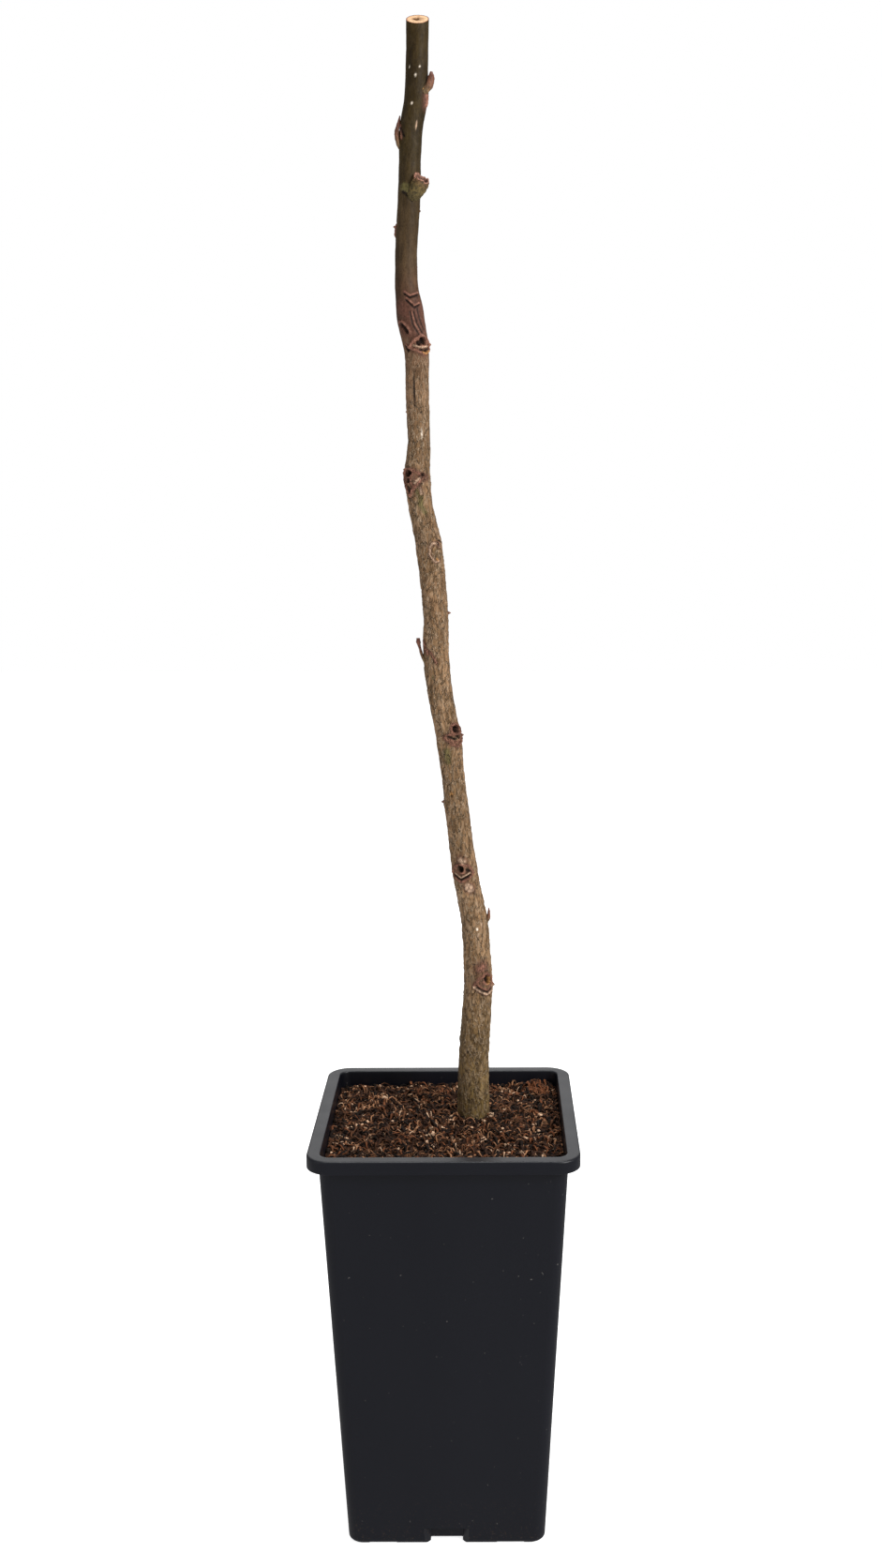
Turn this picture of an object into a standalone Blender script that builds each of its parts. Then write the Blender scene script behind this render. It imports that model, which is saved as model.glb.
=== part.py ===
"""A pruned young walnut tree in a deep square nursery pot.

Lengths are in metres and +Z is up. The origin is on the level that the pot stands on, under its middle.
An azimuth is in degrees, anticlockwise from +X as seen from above, so -90 faces the front.
A height is measured up from the compost at the foot of the stem.
"""

import math

import bmesh
import bpy
import numpy as np
from mathutils import Matrix, Vector, noise

MM = 0.001
GAP = 0.3 * MM
LONG = 10 * MM

# The pot
POT_HEIGHT = 288 * MM
RIM_WIDTH = 180 * MM
RIM_CORNER = 15.8 * MM
RIM_DROP = 8.9 * MM
RIM_PLATE = 2 * MM
RIM_EDGE = 1 * MM
BODY_TOP_WIDTH = 165.2 * MM
BODY_BASE_WIDTH = 135.8 * MM
BODY_CORNER = 9 * MM
BASE_EDGE = 4 * MM
WALL = 1.6 * MM
MOUTH_EDGE = 0.8 * MM
CORNER_STEPS = 7
EDGE_STEPS = 3

# What is hollowed out under the pot
FOOT_RING = 9 * MM
FLOOR_RISE = 2.7 * MM
CHANNELS = (
    # place of the middle, half its width, height
    (-43.9 * MM, 9.4 * MM, 1.8 * MM),
    (0, 11 * MM, FLOOR_RISE),
    (43.9 * MM, 9.4 * MM, 1.8 * MM),
)
NICHE_HALF_WIDTH = 15.3 * MM
NICHE_BACK_HALF_WIDTH = 11 * MM
NICHE_DEPTH = 5.6 * MM
NICHE_HEIGHT = 12.4 * MM
DRAIN_RADIUS = 5 * MM
DRAIN_OFFSET = 40 * MM
ROD_SIDES = 16

# The compost
COMPOST_LEVEL = 280 * MM
COMPOST_EDGE_LEVEL = 276.8 * MM
MOUND_RADIUS = 50 * MM
SEAT_RADIUS = 20 * MM
LUMP_HEIGHT = 1.8 * MM
LUMP_SIZE = 15 * MM
GRID_CELLS = 28
DENTS = (
    # x, y, radius, rise
    (-47.7 * MM, -41.9 * MM, 10 * MM, -5 * MM),
    (30.3 * MM, -41.3 * MM, 9 * MM, -4 * MM),
    (65 * MM, 64 * MM, 9 * MM, 5.5 * MM),
    (-62 * MM, 48 * MM, 14 * MM, 2 * MM),
)

# The stem's bends, each at its height: where the middle is, and how thick it is
STEM = (
    # height, x, y, diameter
    (0, 18.9, 15.0, 22.8),
    (40, 19.4, 14.2, 21.3),
    (75, 21.5, 13.2, 20.3),
    (97, 22.7, 12.6, 19.7),
    (122, 21.7, 11.8, 18.8),
    (143, 20.4, 11.2, 18.6),
    (160, 17.2, 10.6, 17.9),
    (178, 14.0, 10.0, 17.3),
    (205, 10.6, 9.0, 16.6),
    (250, 5.7, 7.6, 15.6),
    (270, 3.4, 7.4, 16.6),
    (300, -2.0, 7.6, 16.8),
    (322, -4.4, 8.2, 17.3),
    (355, -5.0, 9.2, 16.6),
    (385, -7.3, 10.4, 17.2),
    (405, -9.9, 11.3, 17.4),
    (428, -14.6, 12.3, 16.0),
    (445, -15.9, 12.8, 16.2),
    (470, -15.1, 13.2, 14.8),
    (500, -15.8, 13.4, 15.2),
    (524, -16.1, 13.2, 15.8),
    (550, -19.9, 12.8, 16.8),
    (563, -21.8, 12.4, 15.3),
    (585, -22.1, 11.8, 14.3),
    (620, -19.8, 11.1, 14.6),
    (648, -18.8, 11.0, 14.2),
    (664, -18.0, 11.2, 15.0),
    (683, -14.5, 11.6, 15.5),
    (700, -14.0, 12.0, 14.4),
    (740, -13.0, 12.6, 14.8),
)
STRAIGHT_FOOT = 6 * MM
RING_SPACING = 6 * MM
STEM_SIDES = 20
CUT_HEIGHT = 729.8 * MM
CUT_SLOPE = 32
PITH_RADIUS = 2.3 * MM
PITH_DEPTH = 3 * MM

# Leaf scars: a swelling round each, and the pit that its bud left
SCARS = (
    # height, azimuth, half height, half width, rise, how far its pit is up and turned, the pit's radius
    (98, -63, 11, 8.5, 1.5, 2.5, 4, 2.2),
    (177, -101, 10, 8.5, 1.4, 3.5, -8, 2.1),
    (272, -60, 11, 8.5, 1.7, 5.5, 10, 2.4),
    (399, -36, 9, 5.0, 0.7, 0, 0, 0),
    (444, -116, 11, 9.5, 1.9, 5.0, -24, 2.3),
    (531, -62, 10, 8.5, 1.6, 2.0, 4, 2.0),
    (545, -172, 10, 6.0, 1.0, 0, 0, 0),
    (556, -15, 10, 6.0, 0.8, 0, 0, 0),
    (60, 82, 9, 7.5, 1.2, 3.0, 0, 1.9),
    (225, 118, 9, 7.5, 1.2, 3.0, 0, 1.9),
    (355, 64, 9, 7.0, 1.2, 3.0, 0, 1.8),
    (486, 100, 9, 7.0, 1.1, 3.0, 0, 1.8),
    (602, 128, 8, 6.0, 1.0, 3.0, 0, 1.7),
)
PIT_DEPTH_SHARE = 0.9
PIT_SIDES = 10

# Buds and broken shoots: each grows out of the stem and turns up
SPURS = (
    # name, height, azimuth, length, lean from upright in degrees, radius at the root, the middle and the tip
    ("bud_top_right", 689, -30, 10, 38, 1.9, 1.6, 0.9),
    ("bud_top_left", 653, -172, 18, 7, 1.6, 1.8, 0.6),
    ("broken_shoot", 624, -50, 12.5, 25, 3.8, 5.0, 4.9),
    ("spur_left", 324, -172, 15, 24, 1.4, 1.1, 1.5),
    ("bud_low_right", 143, -6, 8.5, 30, 1.9, 1.5, 0.5),
    ("bud_back", 292, 96, 9, 28, 1.9, 1.6, 0.6),
    ("bud_top_back", 700, 84, 9, 24, 1.7, 1.5, 0.6),
)
SPUR_POINTS = 9
SPUR_SIDES = 10
SPUR_ROOT_LEAN = 2
SPUR_TIP_LEAN = 0.5

COLOURS = {
    # base colour, roughness
    "pot": ((0.014, 0.015, 0.018), 0.45),
    "compost": ((0.045, 0.022, 0.012), 0.95),
    "trunk": ((0.155, 0.115, 0.075), 0.8),
    "spur": ((0.13, 0.06, 0.04), 0.75),
}


def clear_scene():
    """Removes whatever the file holds, so that the part stands alone."""
    for thing in list(bpy.data.objects):
        bpy.data.objects.remove(thing, do_unlink=True)


def new_collection(name):
    """A collection of that name in the scene."""
    made = bpy.data.collections.new(name)
    bpy.context.scene.collection.children.link(made)
    return made


def new_material(name, kind):
    """A plain material with the base colour and roughness of that kind of thing."""
    colour, roughness = COLOURS[kind]
    made = bpy.data.materials.new(name)
    made.use_nodes = True
    shader = made.node_tree.nodes["Principled BSDF"]
    shader.inputs["Base Color"].default_value = (*colour, 1)
    shader.inputs["Roughness"].default_value = roughness
    shader.inputs["Metallic"].default_value = 0
    return made


def as_object(bm, name, collection):
    """Puts a finished bmesh into the collection as an object."""
    bmesh.ops.recalc_face_normals(bm, faces=bm.faces)
    mesh = bpy.data.meshes.new(name)
    bm.to_mesh(mesh)
    bm.free()
    made = bpy.data.objects.new(name, mesh)
    collection.objects.link(made)
    return made


def as_cutter(thing):
    """Marks an object that only shapes others."""
    thing.hide_render = True
    thing.display_type = "WIRE"
    return thing


def combine(target, other, operation):
    """Adds a Boolean of the target with another object, or with all of a collection."""
    modifier = target.modifiers.new(operation.lower(), "BOOLEAN")
    modifier.operation = operation
    modifier.solver = "EXACT"
    if isinstance(other, bpy.types.Collection):
        modifier.operand_type = "COLLECTION"
        modifier.collection = other
    else:
        modifier.object = other


def finish(thing, kind):
    """Gives a part its own material and smooth shading across its gentle edges."""
    thing.data.materials.clear()
    thing.data.materials.append(new_material(thing.name, kind))
    thing.data.shade_smooth()
    thing.data.set_sharp_from_angle(angle=math.radians(35))


def level_edges(bm, level):
    """The edges that lie flat at one height."""
    near = 1e-6
    return [e for e in bm.edges if all(abs(v.co.z - level) < near for v in e.verts)]


def block(name, collection, low, high, half_low, half_high, corner, low_edge=0, high_edge=0):
    """A tapered square block with round upright corners. The edges of its flat ends are rounded if asked."""
    bm = bmesh.new()
    middle = Matrix.Translation((0, 0, (low + high) / 2)) @ Matrix.Rotation(math.radians(45), 4, "Z")
    bmesh.ops.create_cone(
        bm,
        cap_ends=True,
        segments=4,
        radius1=half_low * math.sqrt(2),
        radius2=half_high * math.sqrt(2),
        depth=high - low,
        matrix=middle,
    )
    flat = set(level_edges(bm, low) + level_edges(bm, high))
    upright = [e for e in bm.edges if e not in flat]
    bevel(bm, upright, corner, CORNER_STEPS)
    for level, size in ((low, low_edge), (high, high_edge)):
        if size:
            bevel(bm, level_edges(bm, level), size, EDGE_STEPS)
    return as_object(bm, name, collection)


def bevel(bm, edges, size, steps):
    """Rounds edges."""
    bmesh.ops.bevel(bm, geom=edges, offset=size, segments=steps, profile=0.5, affect="EDGES")


def box(name, collection, low, high):
    """A plain box between two corners."""
    bm = bmesh.new()
    middle = (Vector(low) + Vector(high)) / 2
    size = Vector(high) - Vector(low)
    bmesh.ops.create_cube(bm, size=1, matrix=Matrix.Translation(middle) @ Matrix.Diagonal((*size, 1)))
    return as_object(bm, name, collection)


def outline_prism(name, collection, outline, low, high):
    """An upright prism on a flat outline, from a filled 2D curve."""
    curve = bpy.data.curves.new(name, "CURVE")
    curve.dimensions = "2D"
    curve.fill_mode = "BOTH"
    curve.extrude = (high - low) / 2
    spline = curve.splines.new("POLY")
    spline.points.add(len(outline) - 1)
    for point, (x, y) in zip(spline.points, outline):
        point.co = (x, y, 0, 1)
    spline.use_cyclic_u = True
    drawn = bpy.data.objects.new(name + "_curve", curve)
    drawn.location.z = (low + high) / 2
    return as_mesh(drawn, name, collection)


def as_mesh(drawn, name, collection):
    """Replaces a curve object with a closed mesh object of the same shape."""
    bpy.context.scene.collection.objects.link(drawn)
    bpy.context.view_layer.update()
    evaluated = drawn.evaluated_get(bpy.context.evaluated_depsgraph_get())
    mesh = bpy.data.meshes.new_from_object(evaluated)
    bm = bmesh.new()
    bm.from_mesh(mesh)
    bmesh.ops.remove_doubles(bm, verts=bm.verts, dist=1e-6)
    made = as_object(bm, name, collection)
    made.matrix_world = drawn.matrix_world.copy()
    bpy.data.meshes.remove(mesh)
    bpy.data.objects.remove(drawn)
    return made


def half_width(z):
    """Half the width of the pot's body at a height over its base."""
    return (BODY_BASE_WIDTH + (BODY_TOP_WIDTH - BODY_BASE_WIDTH) * z / POT_HEIGHT) / 2


def base_relief(prefix, collection, thickness):
    """What hollows the base from below, grown by a thickness: the raised floor, channels and niches."""
    inner = half_width(0) - FOOT_RING + thickness
    top = FLOOR_RISE + thickness
    as_cutter(block(prefix + "_floor", collection, -LONG, top, inner, inner, BODY_CORNER))
    reach = half_width(0) + LONG
    for turn in (0, 90):
        for number, (place, half, height) in enumerate(CHANNELS):
            low = (place - half - thickness, -reach, -LONG)
            high = (place + half + thickness, reach, height + thickness)
            channel = as_cutter(box(f"{prefix}_channel_{turn}_{number}", collection, low, high))
            channel.rotation_euler.z = math.radians(turn)
    for turn in (0, 90, 180, 270):
        niche = as_cutter(niche_block(f"{prefix}_niche_{turn}", collection, thickness))
        niche.rotation_euler.z = math.radians(turn)


def niche_block(name, collection, thickness):
    """The space of the niche in the front wall's foot, grown by a thickness. It is narrower at the back."""
    face = half_width(NICHE_HEIGHT / 2)
    back = NICHE_DEPTH + thickness
    slant = (NICHE_HALF_WIDTH - NICHE_BACK_HALF_WIDTH) / NICHE_DEPTH
    wide = NICHE_HALF_WIDTH + slant * LONG + thickness
    narrow = NICHE_BACK_HALF_WIDTH + thickness
    outline = (
        (-wide, -face - LONG),
        (wide, -face - LONG),
        (narrow, -face + back),
        (-narrow, -face + back),
    )
    return outline_prism(name, collection, outline, -LONG, NICHE_HEIGHT + thickness)


def inside(name, collection, thickness):
    """The pot's inside at a distance in from its outer faces, a little longer than the pot."""
    low = thickness
    high = POT_HEIGHT + LONG
    made = block(
        name,
        collection,
        low,
        high,
        half_width(low) - thickness,
        half_width(high) - thickness,
        BODY_CORNER - thickness,
        low_edge=BASE_EDGE - thickness,
    )
    reliefs = new_collection(name + "_relief")
    base_relief(name, reliefs, thickness)
    combine(made, reliefs, "DIFFERENCE")
    return made


def make_pot(parts, cutters):
    """The pot: a tapered body, a rim like an upturned tray, and a hollowed base with drain holes."""
    top = POT_HEIGHT - RIM_PLATE / 2
    pot = block(
        "pot", parts, 0, top, half_width(0), half_width(top), BODY_CORNER, low_edge=BASE_EDGE
    )
    half_rim = RIM_WIDTH / 2
    rim = as_cutter(
        block(
            "rim",
            cutters,
            POT_HEIGHT - RIM_DROP,
            POT_HEIGHT,
            half_rim,
            half_rim,
            RIM_CORNER,
            high_edge=RIM_EDGE,
        )
    )
    half_hollow = half_rim - WALL
    rim_hollow = as_cutter(
        block(
            "rim_hollow",
            cutters,
            POT_HEIGHT - RIM_DROP - LONG,
            POT_HEIGHT - RIM_PLATE,
            half_hollow,
            half_hollow,
            RIM_CORNER - WALL,
        )
    )
    combine(rim, rim_hollow, "DIFFERENCE")
    combine(pot, rim, "UNION")
    below = new_collection("below")
    base_relief("below", below, 0)
    combine(pot, below, "DIFFERENCE")
    cavity = as_cutter(inside("cavity", cutters, WALL))
    combine(pot, cavity, "DIFFERENCE")
    openings = new_collection("openings")
    mouth_half = half_width(POT_HEIGHT) - WALL
    as_cutter(
        block(
            "mouth",
            openings,
            POT_HEIGHT - MOUTH_EDGE,
            POT_HEIGHT + MOUTH_EDGE,
            mouth_half,
            mouth_half + 2 * MOUTH_EDGE,
            BODY_CORNER - WALL,
        )
    )
    for number, (x, y) in enumerate(((0, 0), (1, 1), (1, -1), (-1, 1), (-1, -1))):
        place = Matrix.Translation((x * DRAIN_OFFSET, y * DRAIN_OFFSET, 0))
        rod(f"drain_{number}", openings, DRAIN_RADIUS, 2 * LONG, place)
    combine(pot, openings, "DIFFERENCE")
    finish(pot, "pot")


def rod(name, collection, radius, length, place):
    """A round cutter, with its middle where the matrix puts it."""
    bm = bmesh.new()
    bmesh.ops.create_cone(
        bm,
        cap_ends=True,
        segments=ROD_SIDES,
        radius1=radius,
        radius2=radius,
        depth=length,
        matrix=place,
    )
    return as_cutter(as_object(bm, name, collection))


def compost_level(x, y, foot):
    """The height of the compost's surface: a low lumpy mound, with a flat seat under the stem's foot."""
    seat = COMPOST_LEVEL - GAP
    away = math.hypot(x - foot.x, y - foot.y)
    mound = math.exp(-((away / MOUND_RADIUS) ** 2))
    level = COMPOST_EDGE_LEVEL + (seat - COMPOST_EDGE_LEVEL) * mound
    level += LUMP_HEIGHT * noise.noise(Vector((x / LUMP_SIZE, y / LUMP_SIZE, 0)))
    for dent_x, dent_y, radius, rise in DENTS:
        level += rise * math.exp(-(((x - dent_x) ** 2 + (y - dent_y) ** 2) / radius**2))
    if away < SEAT_RADIUS:
        level = seat
    return level


def make_compost(parts, cutters):
    """The compost: the pot's inside, filled up to an uneven surface."""
    surface = bmesh.new()
    reach = half_width(POT_HEIGHT)
    bmesh.ops.create_grid(surface, x_segments=GRID_CELLS, y_segments=GRID_CELLS, size=reach)
    foot, _ = stem_at(0)
    for vertex in surface.verts:
        vertex.co.z = compost_level(vertex.co.x, vertex.co.y, foot)
    lifted = bmesh.ops.extrude_face_region(surface, geom=surface.faces[:])["geom"]
    for vertex in (g for g in lifted if isinstance(g, bmesh.types.BMVert)):
        vertex.co.z = POT_HEIGHT + 2 * LONG
    above = as_cutter(as_object(surface, "above_compost", cutters))
    compost = inside("compost", parts, WALL + GAP)
    combine(compost, above, "DIFFERENCE")
    finish(compost, "compost")


def stem_at(height):
    """The stem's middle and radius at a height, from a smooth curve through its bends."""
    table = np.array(STEM) * MM
    heights, values = table[:, 0], table[:, 1:]
    spans = np.diff(heights)
    slopes = np.diff(values, axis=0) / spans[:, None]
    tangents = np.vstack(
        [
            slopes[:1],
            (slopes[:-1] * spans[1:, None] + slopes[1:] * spans[:-1, None])
            / (spans[1:] + spans[:-1])[:, None],
            slopes[-1:],
        ]
    )
    i = int(np.clip(np.searchsorted(heights, height) - 1, 0, len(spans) - 1))
    t = (height - heights[i]) / spans[i]
    x, y, diameter = (
        values[i] * (2 * t**3 - 3 * t**2 + 1)
        + values[i + 1] * (3 * t**2 - 2 * t**3)
        + tangents[i] * spans[i] * (t**3 - 2 * t**2 + t)
        + tangents[i + 1] * spans[i] * (t**3 - t**2)
    )
    return Vector((x, y, COMPOST_LEVEL + height)), diameter / 2


def outward(azimuth):
    """The level direction at an azimuth."""
    angle = math.radians(azimuth)
    return Vector((math.cos(angle), math.sin(angle), 0))


def tube(name, collection, points, radii, sides):
    """A closed tube along points, from a bevelled curve."""
    curve = bpy.data.curves.new(name, "CURVE")
    curve.dimensions = "3D"
    curve.bevel_depth = 1
    curve.bevel_resolution = (sides - 4) // 2
    curve.use_fill_caps = True
    spline = curve.splines.new("POLY")
    spline.points.add(len(points) - 1)
    for point, place, radius in zip(spline.points, points, radii):
        point.co = (*place, 1)
        point.radius = radius
    return as_mesh(bpy.data.objects.new(name + "_curve", curve), name, collection)


def stem_body(name, collection, growth):
    """The stem with its swellings, grown by a distance, up to its slanting cut."""
    top = CUT_HEIGHT + LONG
    count = round((top - STRAIGHT_FOOT) / RING_SPACING)
    heights = [-growth, *np.linspace(STRAIGHT_FOOT, top, count + 1)]
    points = []
    radii = []
    for height in heights:
        middle, radius = stem_at(max(height, 0))
        if height < 0:
            middle.z = COMPOST_LEVEL + height
        points.append(middle)
        radii.append(radius + growth)
    points[0].xy = points[1].xy
    stem = tube(name, collection, points, radii, STEM_SIDES)
    for vertex in stem.data.vertices:
        vertex.co += swelling(vertex.co)
    return stem


def swelling(place):
    """How far the leaf scars push a point of the stem's surface out."""
    height = place.z - COMPOST_LEVEL
    middle, radius = stem_at(min(max(height, 0), CUT_HEIGHT))
    arm = place - middle
    arm.z = 0
    azimuth = math.atan2(arm.y, arm.x)
    push = 0
    for scar_height, scar_azimuth, half_height, half_wide, rise, *_ in SCARS:
        along = (height - scar_height * MM) / (half_height * MM)
        turn = math.remainder(azimuth - math.radians(scar_azimuth), 2 * math.pi)
        around = turn * radius / (half_wide * MM)
        push += rise * MM * math.exp(-(along**2) - around**2)
    return arm.normalized() * push


def cut_block(cutters):
    """The cutter above the slanting cut at the stem's top, which faces the front."""
    middle, radius = stem_at(CUT_HEIGHT)
    reach = 4 * radius
    above = as_cutter(box("above_cut", cutters, (-reach, -reach, 0), (reach, reach, 2 * reach)))
    above.location = middle
    above.rotation_euler.x = math.radians(CUT_SLOPE)
    return above


def make_trunk(parts, cutters):
    """The stem, with a pit in each leaf scar that has one, and a hollow pith in its cut."""
    trunk = stem_body("trunk", parts, 0)
    combine(trunk, cut_block(cutters), "DIFFERENCE")
    pits = new_collection("pits")
    for number, (height, azimuth, _, _, rise, over, turn, pit) in enumerate(SCARS):
        if pit:
            make_pit(f"pit_{number}", pits, height + over, azimuth + turn, rise, pit)
    middle, _ = stem_at(CUT_HEIGHT)
    slope = Matrix.Rotation(math.radians(CUT_SLOPE), 4, "X")
    rod("pith", pits, PITH_RADIUS, 2 * PITH_DEPTH, Matrix.Translation(middle) @ slope)
    combine(trunk, pits, "DIFFERENCE")
    finish(trunk, "trunk")


def make_pit(name, collection, height, azimuth, rise, size):
    """The cutter of one bud's pit: a ball, half sunk in the bark."""
    middle, radius = stem_at(height * MM)
    centre = middle + outward(azimuth) * (radius + rise * PIT_DEPTH_SHARE * MM)
    bm = bmesh.new()
    bmesh.ops.create_uvsphere(
        bm,
        u_segments=PIT_SIDES,
        v_segments=PIT_SIDES // 2,
        radius=size * MM,
        matrix=Matrix.Translation(centre),
    )
    as_cutter(as_object(bm, name, collection))


def make_spurs(parts, cutters):
    """The buds and broken shoots, each cut off just clear of the bark that it grows from."""
    bark = as_cutter(stem_body("bark_clearance", cutters, GAP))
    for name, height, azimuth, length, lean, root, middle, tip in SPURS:
        foot, radius = stem_at(height * MM)
        out = outward(azimuth)
        place = foot + out * (radius - root * MM)
        angles = np.radians(np.linspace(lean * SPUR_ROOT_LEAN, lean * SPUR_TIP_LEAN, SPUR_POINTS))
        step = length * MM / (SPUR_POINTS - 1)
        points = []
        for angle in angles:
            points.append(place.copy())
            place += (out * math.sin(angle) + Vector((0, 0, math.cos(angle)))) * step
        radii = np.interp(np.linspace(0, 2, SPUR_POINTS), (0, 1, 2), (root, middle, tip)) * MM
        spur = tube(name, parts, points, radii, SPUR_SIDES)
        combine(spur, bark, "DIFFERENCE")
        finish(spur, "spur")


def main():
    clear_scene()
    parts = new_collection("potted_walnut_tree")
    cutters = new_collection("cutters")
    make_pot(parts, cutters)
    make_compost(parts, cutters)
    make_trunk(parts, cutters)
    make_spurs(parts, cutters)


main()
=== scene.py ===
"""How the potted walnut tree looks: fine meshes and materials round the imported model.

Lengths are in metres and +Z is up. A height is measured up from the compost at the stem's foot, and an
azimuth is in degrees, anticlockwise from +X as seen from above, so -90 faces the front.
"""

import math

import bmesh
import bpy
import numpy as np
from mathutils import Matrix, Vector, noise


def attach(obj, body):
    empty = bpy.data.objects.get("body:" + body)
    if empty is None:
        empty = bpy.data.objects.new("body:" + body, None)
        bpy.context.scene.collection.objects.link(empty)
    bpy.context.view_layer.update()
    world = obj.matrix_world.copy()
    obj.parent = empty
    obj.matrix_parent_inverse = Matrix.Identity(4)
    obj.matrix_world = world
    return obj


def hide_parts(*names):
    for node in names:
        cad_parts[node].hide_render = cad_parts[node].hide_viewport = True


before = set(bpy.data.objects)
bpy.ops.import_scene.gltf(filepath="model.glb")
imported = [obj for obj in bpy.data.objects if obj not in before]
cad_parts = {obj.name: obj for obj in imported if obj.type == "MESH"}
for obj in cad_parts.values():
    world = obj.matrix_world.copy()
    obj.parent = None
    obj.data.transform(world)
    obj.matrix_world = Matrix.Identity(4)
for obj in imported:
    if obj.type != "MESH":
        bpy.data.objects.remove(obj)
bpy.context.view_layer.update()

MM = 0.001
RNG = np.random.default_rng(7)

# The camera, and how its picture is framed
IMAGE_WIDTH = 941
IMAGE_HEIGHT = 1672
FOCAL_PIXELS = 1709.5
OPTICAL_CENTRE_X = 518.8
CAMERA_PLACE = (0.02882, -1.06953, 0.7033)
CAMERA_PITCH = 9.7
CAMERA_ROLL = 0.17
SENSOR = 36
CAMERA_NEAREST = 10 * MM

# The studio. A light is (name, place, what it faces, size, power).
LIGHTS = (
    ("key", (1.5, -1.3, 1.6), (0, 0, 0.55), 0.9, 42),
    ("fill", (-1.8, -1.2, 0.9), (0, 0, 0.55), 1.4, 3),
    ("overhead", (0.1, 0.3, 2.1), (0, 0, 0.3), 0.9, 18),
    ("back", (0, 2.4, 1.25), (0, 0, 0.3), 1.6, 7),
)
SURROUND_LIGHT = 0.3
FLOOR_HALF = 6
FLOOR_GLOW = 0.82
BLACK = (0, 0, 0)
WHITE = (1, 1, 1)

# The pot
POT_HEIGHT = 288 * MM
RIM_WIDTH = 180 * MM
RIM_CORNER = 15.8 * MM
RIM_DROP = 8.9 * MM
RIM_PLATE = 2 * MM
RIM_EDGE = 1.3 * MM
SKIRT_EDGE = 0.5 * MM
BODY_TOP_WIDTH = 165.2 * MM
BODY_BASE_WIDTH = 135.8 * MM
BODY_CORNER = 9 * MM
BASE_EDGE = 4 * MM
WALL = 1.6 * MM
MOUTH_EDGE = 1 * MM
ROOT_EDGE = 0.9 * MM
HOLLOW_EDGE = 0.8 * MM
PINHOLE = 2 * MM
QUARTERS = (0, 90, 180, 270)
FOOT_RING = 9 * MM
FLOOR_RISE = 2.7 * MM
CHANNELS = (
    # place of the middle, half its width, height
    (-43.9 * MM, 9.4 * MM, 1.8 * MM),
    (0, 11 * MM, FLOOR_RISE),
    (43.9 * MM, 9.4 * MM, 1.8 * MM),
)
NICHE_HALF_WIDTH = 15.3 * MM
NICHE_BACK_HALF_WIDTH = 11 * MM
NICHE_DEPTH = 5.6 * MM
NICHE_HEIGHT = 12.4 * MM
NICHE_EDGE = 0.8 * MM
HOUSING_SINK = 0.4 * MM
DRAIN_RADIUS = 5 * MM
DRAIN_OFFSET = 40 * MM
LONG = 10 * MM
POT_BOW = 0.5 * MM
RIM_MARKS = (
    # x, y, size and depth of a small mark, in millimetres
    (-85.6, -5.4, 2.2, 0.35),
    (-82.6, -4.6, 1.6, 0.3),
    (84.7, -4.1, 1.5, 0.5),
)
POT_COLOURS = ((0.3, (0.0026, 0.0030, 0.0062)), (0.75, (0.0042, 0.0047, 0.0086)))
DIRT_HEIGHT = 45 * MM

# The compost
COMPOST_LEVEL = 280 * MM
COMPOST_EDGE_LEVEL = 276.8 * MM
COMPOST_BASE = 20 * MM
COMPOST_INSET = WALL + 0.3 * MM
COMPOST_COLOURS = ((0.32, (0.006, 0.003, 0.002)), (0.5, (0.030, 0.013, 0.007)), (0.68, (0.105, 0.046, 0.023)))
MOUND_RADIUS = 50 * MM
LUMPS = ((2, 15, 0), (2.2, 6.5, 3), (0.9, 3, 8))  # rise and size in millimetres, offset of the noise
DENTS = (
    # x, y, radius, rise
    (-47.7 * MM, -41.9 * MM, 10 * MM, -5 * MM),
    (30.3 * MM, -41.3 * MM, 9 * MM, -4 * MM),
    (65 * MM, 64 * MM, 9 * MM, 4.5 * MM),
    (-62 * MM, 48 * MM, 14 * MM, 2 * MM),
)

# The stem's bends, each at its height: where the middle is, and how thick it is, in millimetres
STEM = (
    (0, 18.9, 15, 22.8),
    (40, 19.4, 14.2, 21.3),
    (75, 21.5, 13.2, 20.3),
    (97, 22.7, 12.6, 19.7),
    (122, 21.7, 11.8, 18.8),
    (143, 20.4, 11.2, 18.6),
    (160, 17.2, 10.6, 17.9),
    (178, 14, 10, 17.3),
    (205, 10.6, 9, 16.6),
    (250, 5.7, 7.6, 15.6),
    (270, 3.4, 7.4, 16.6),
    (300, -2, 7.6, 16.8),
    (322, -4.4, 8.2, 17.3),
    (355, -5, 9.2, 16.6),
    (385, -7.3, 10.4, 17.2),
    (405, -9.9, 11.3, 17.4),
    (428, -14.6, 12.3, 16),
    (445, -15.9, 12.8, 16.2),
    (470, -15.1, 13.2, 14.8),
    (500, -15.8, 13.4, 15.2),
    (524, -16.1, 13.2, 15.8),
    (550, -19.9, 12.8, 16.8),
    (563, -21.8, 12.4, 15.3),
    (585, -22.1, 11.8, 14.3),
    (620, -19.8, 11.1, 14.6),
    (648, -18.8, 11, 14.2),
    (664, -18, 11.2, 15),
    (683, -14.5, 11.6, 15.5),
    (700, -14, 12, 14.4),
    (740, -13, 12.6, 14.8),
)

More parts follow.
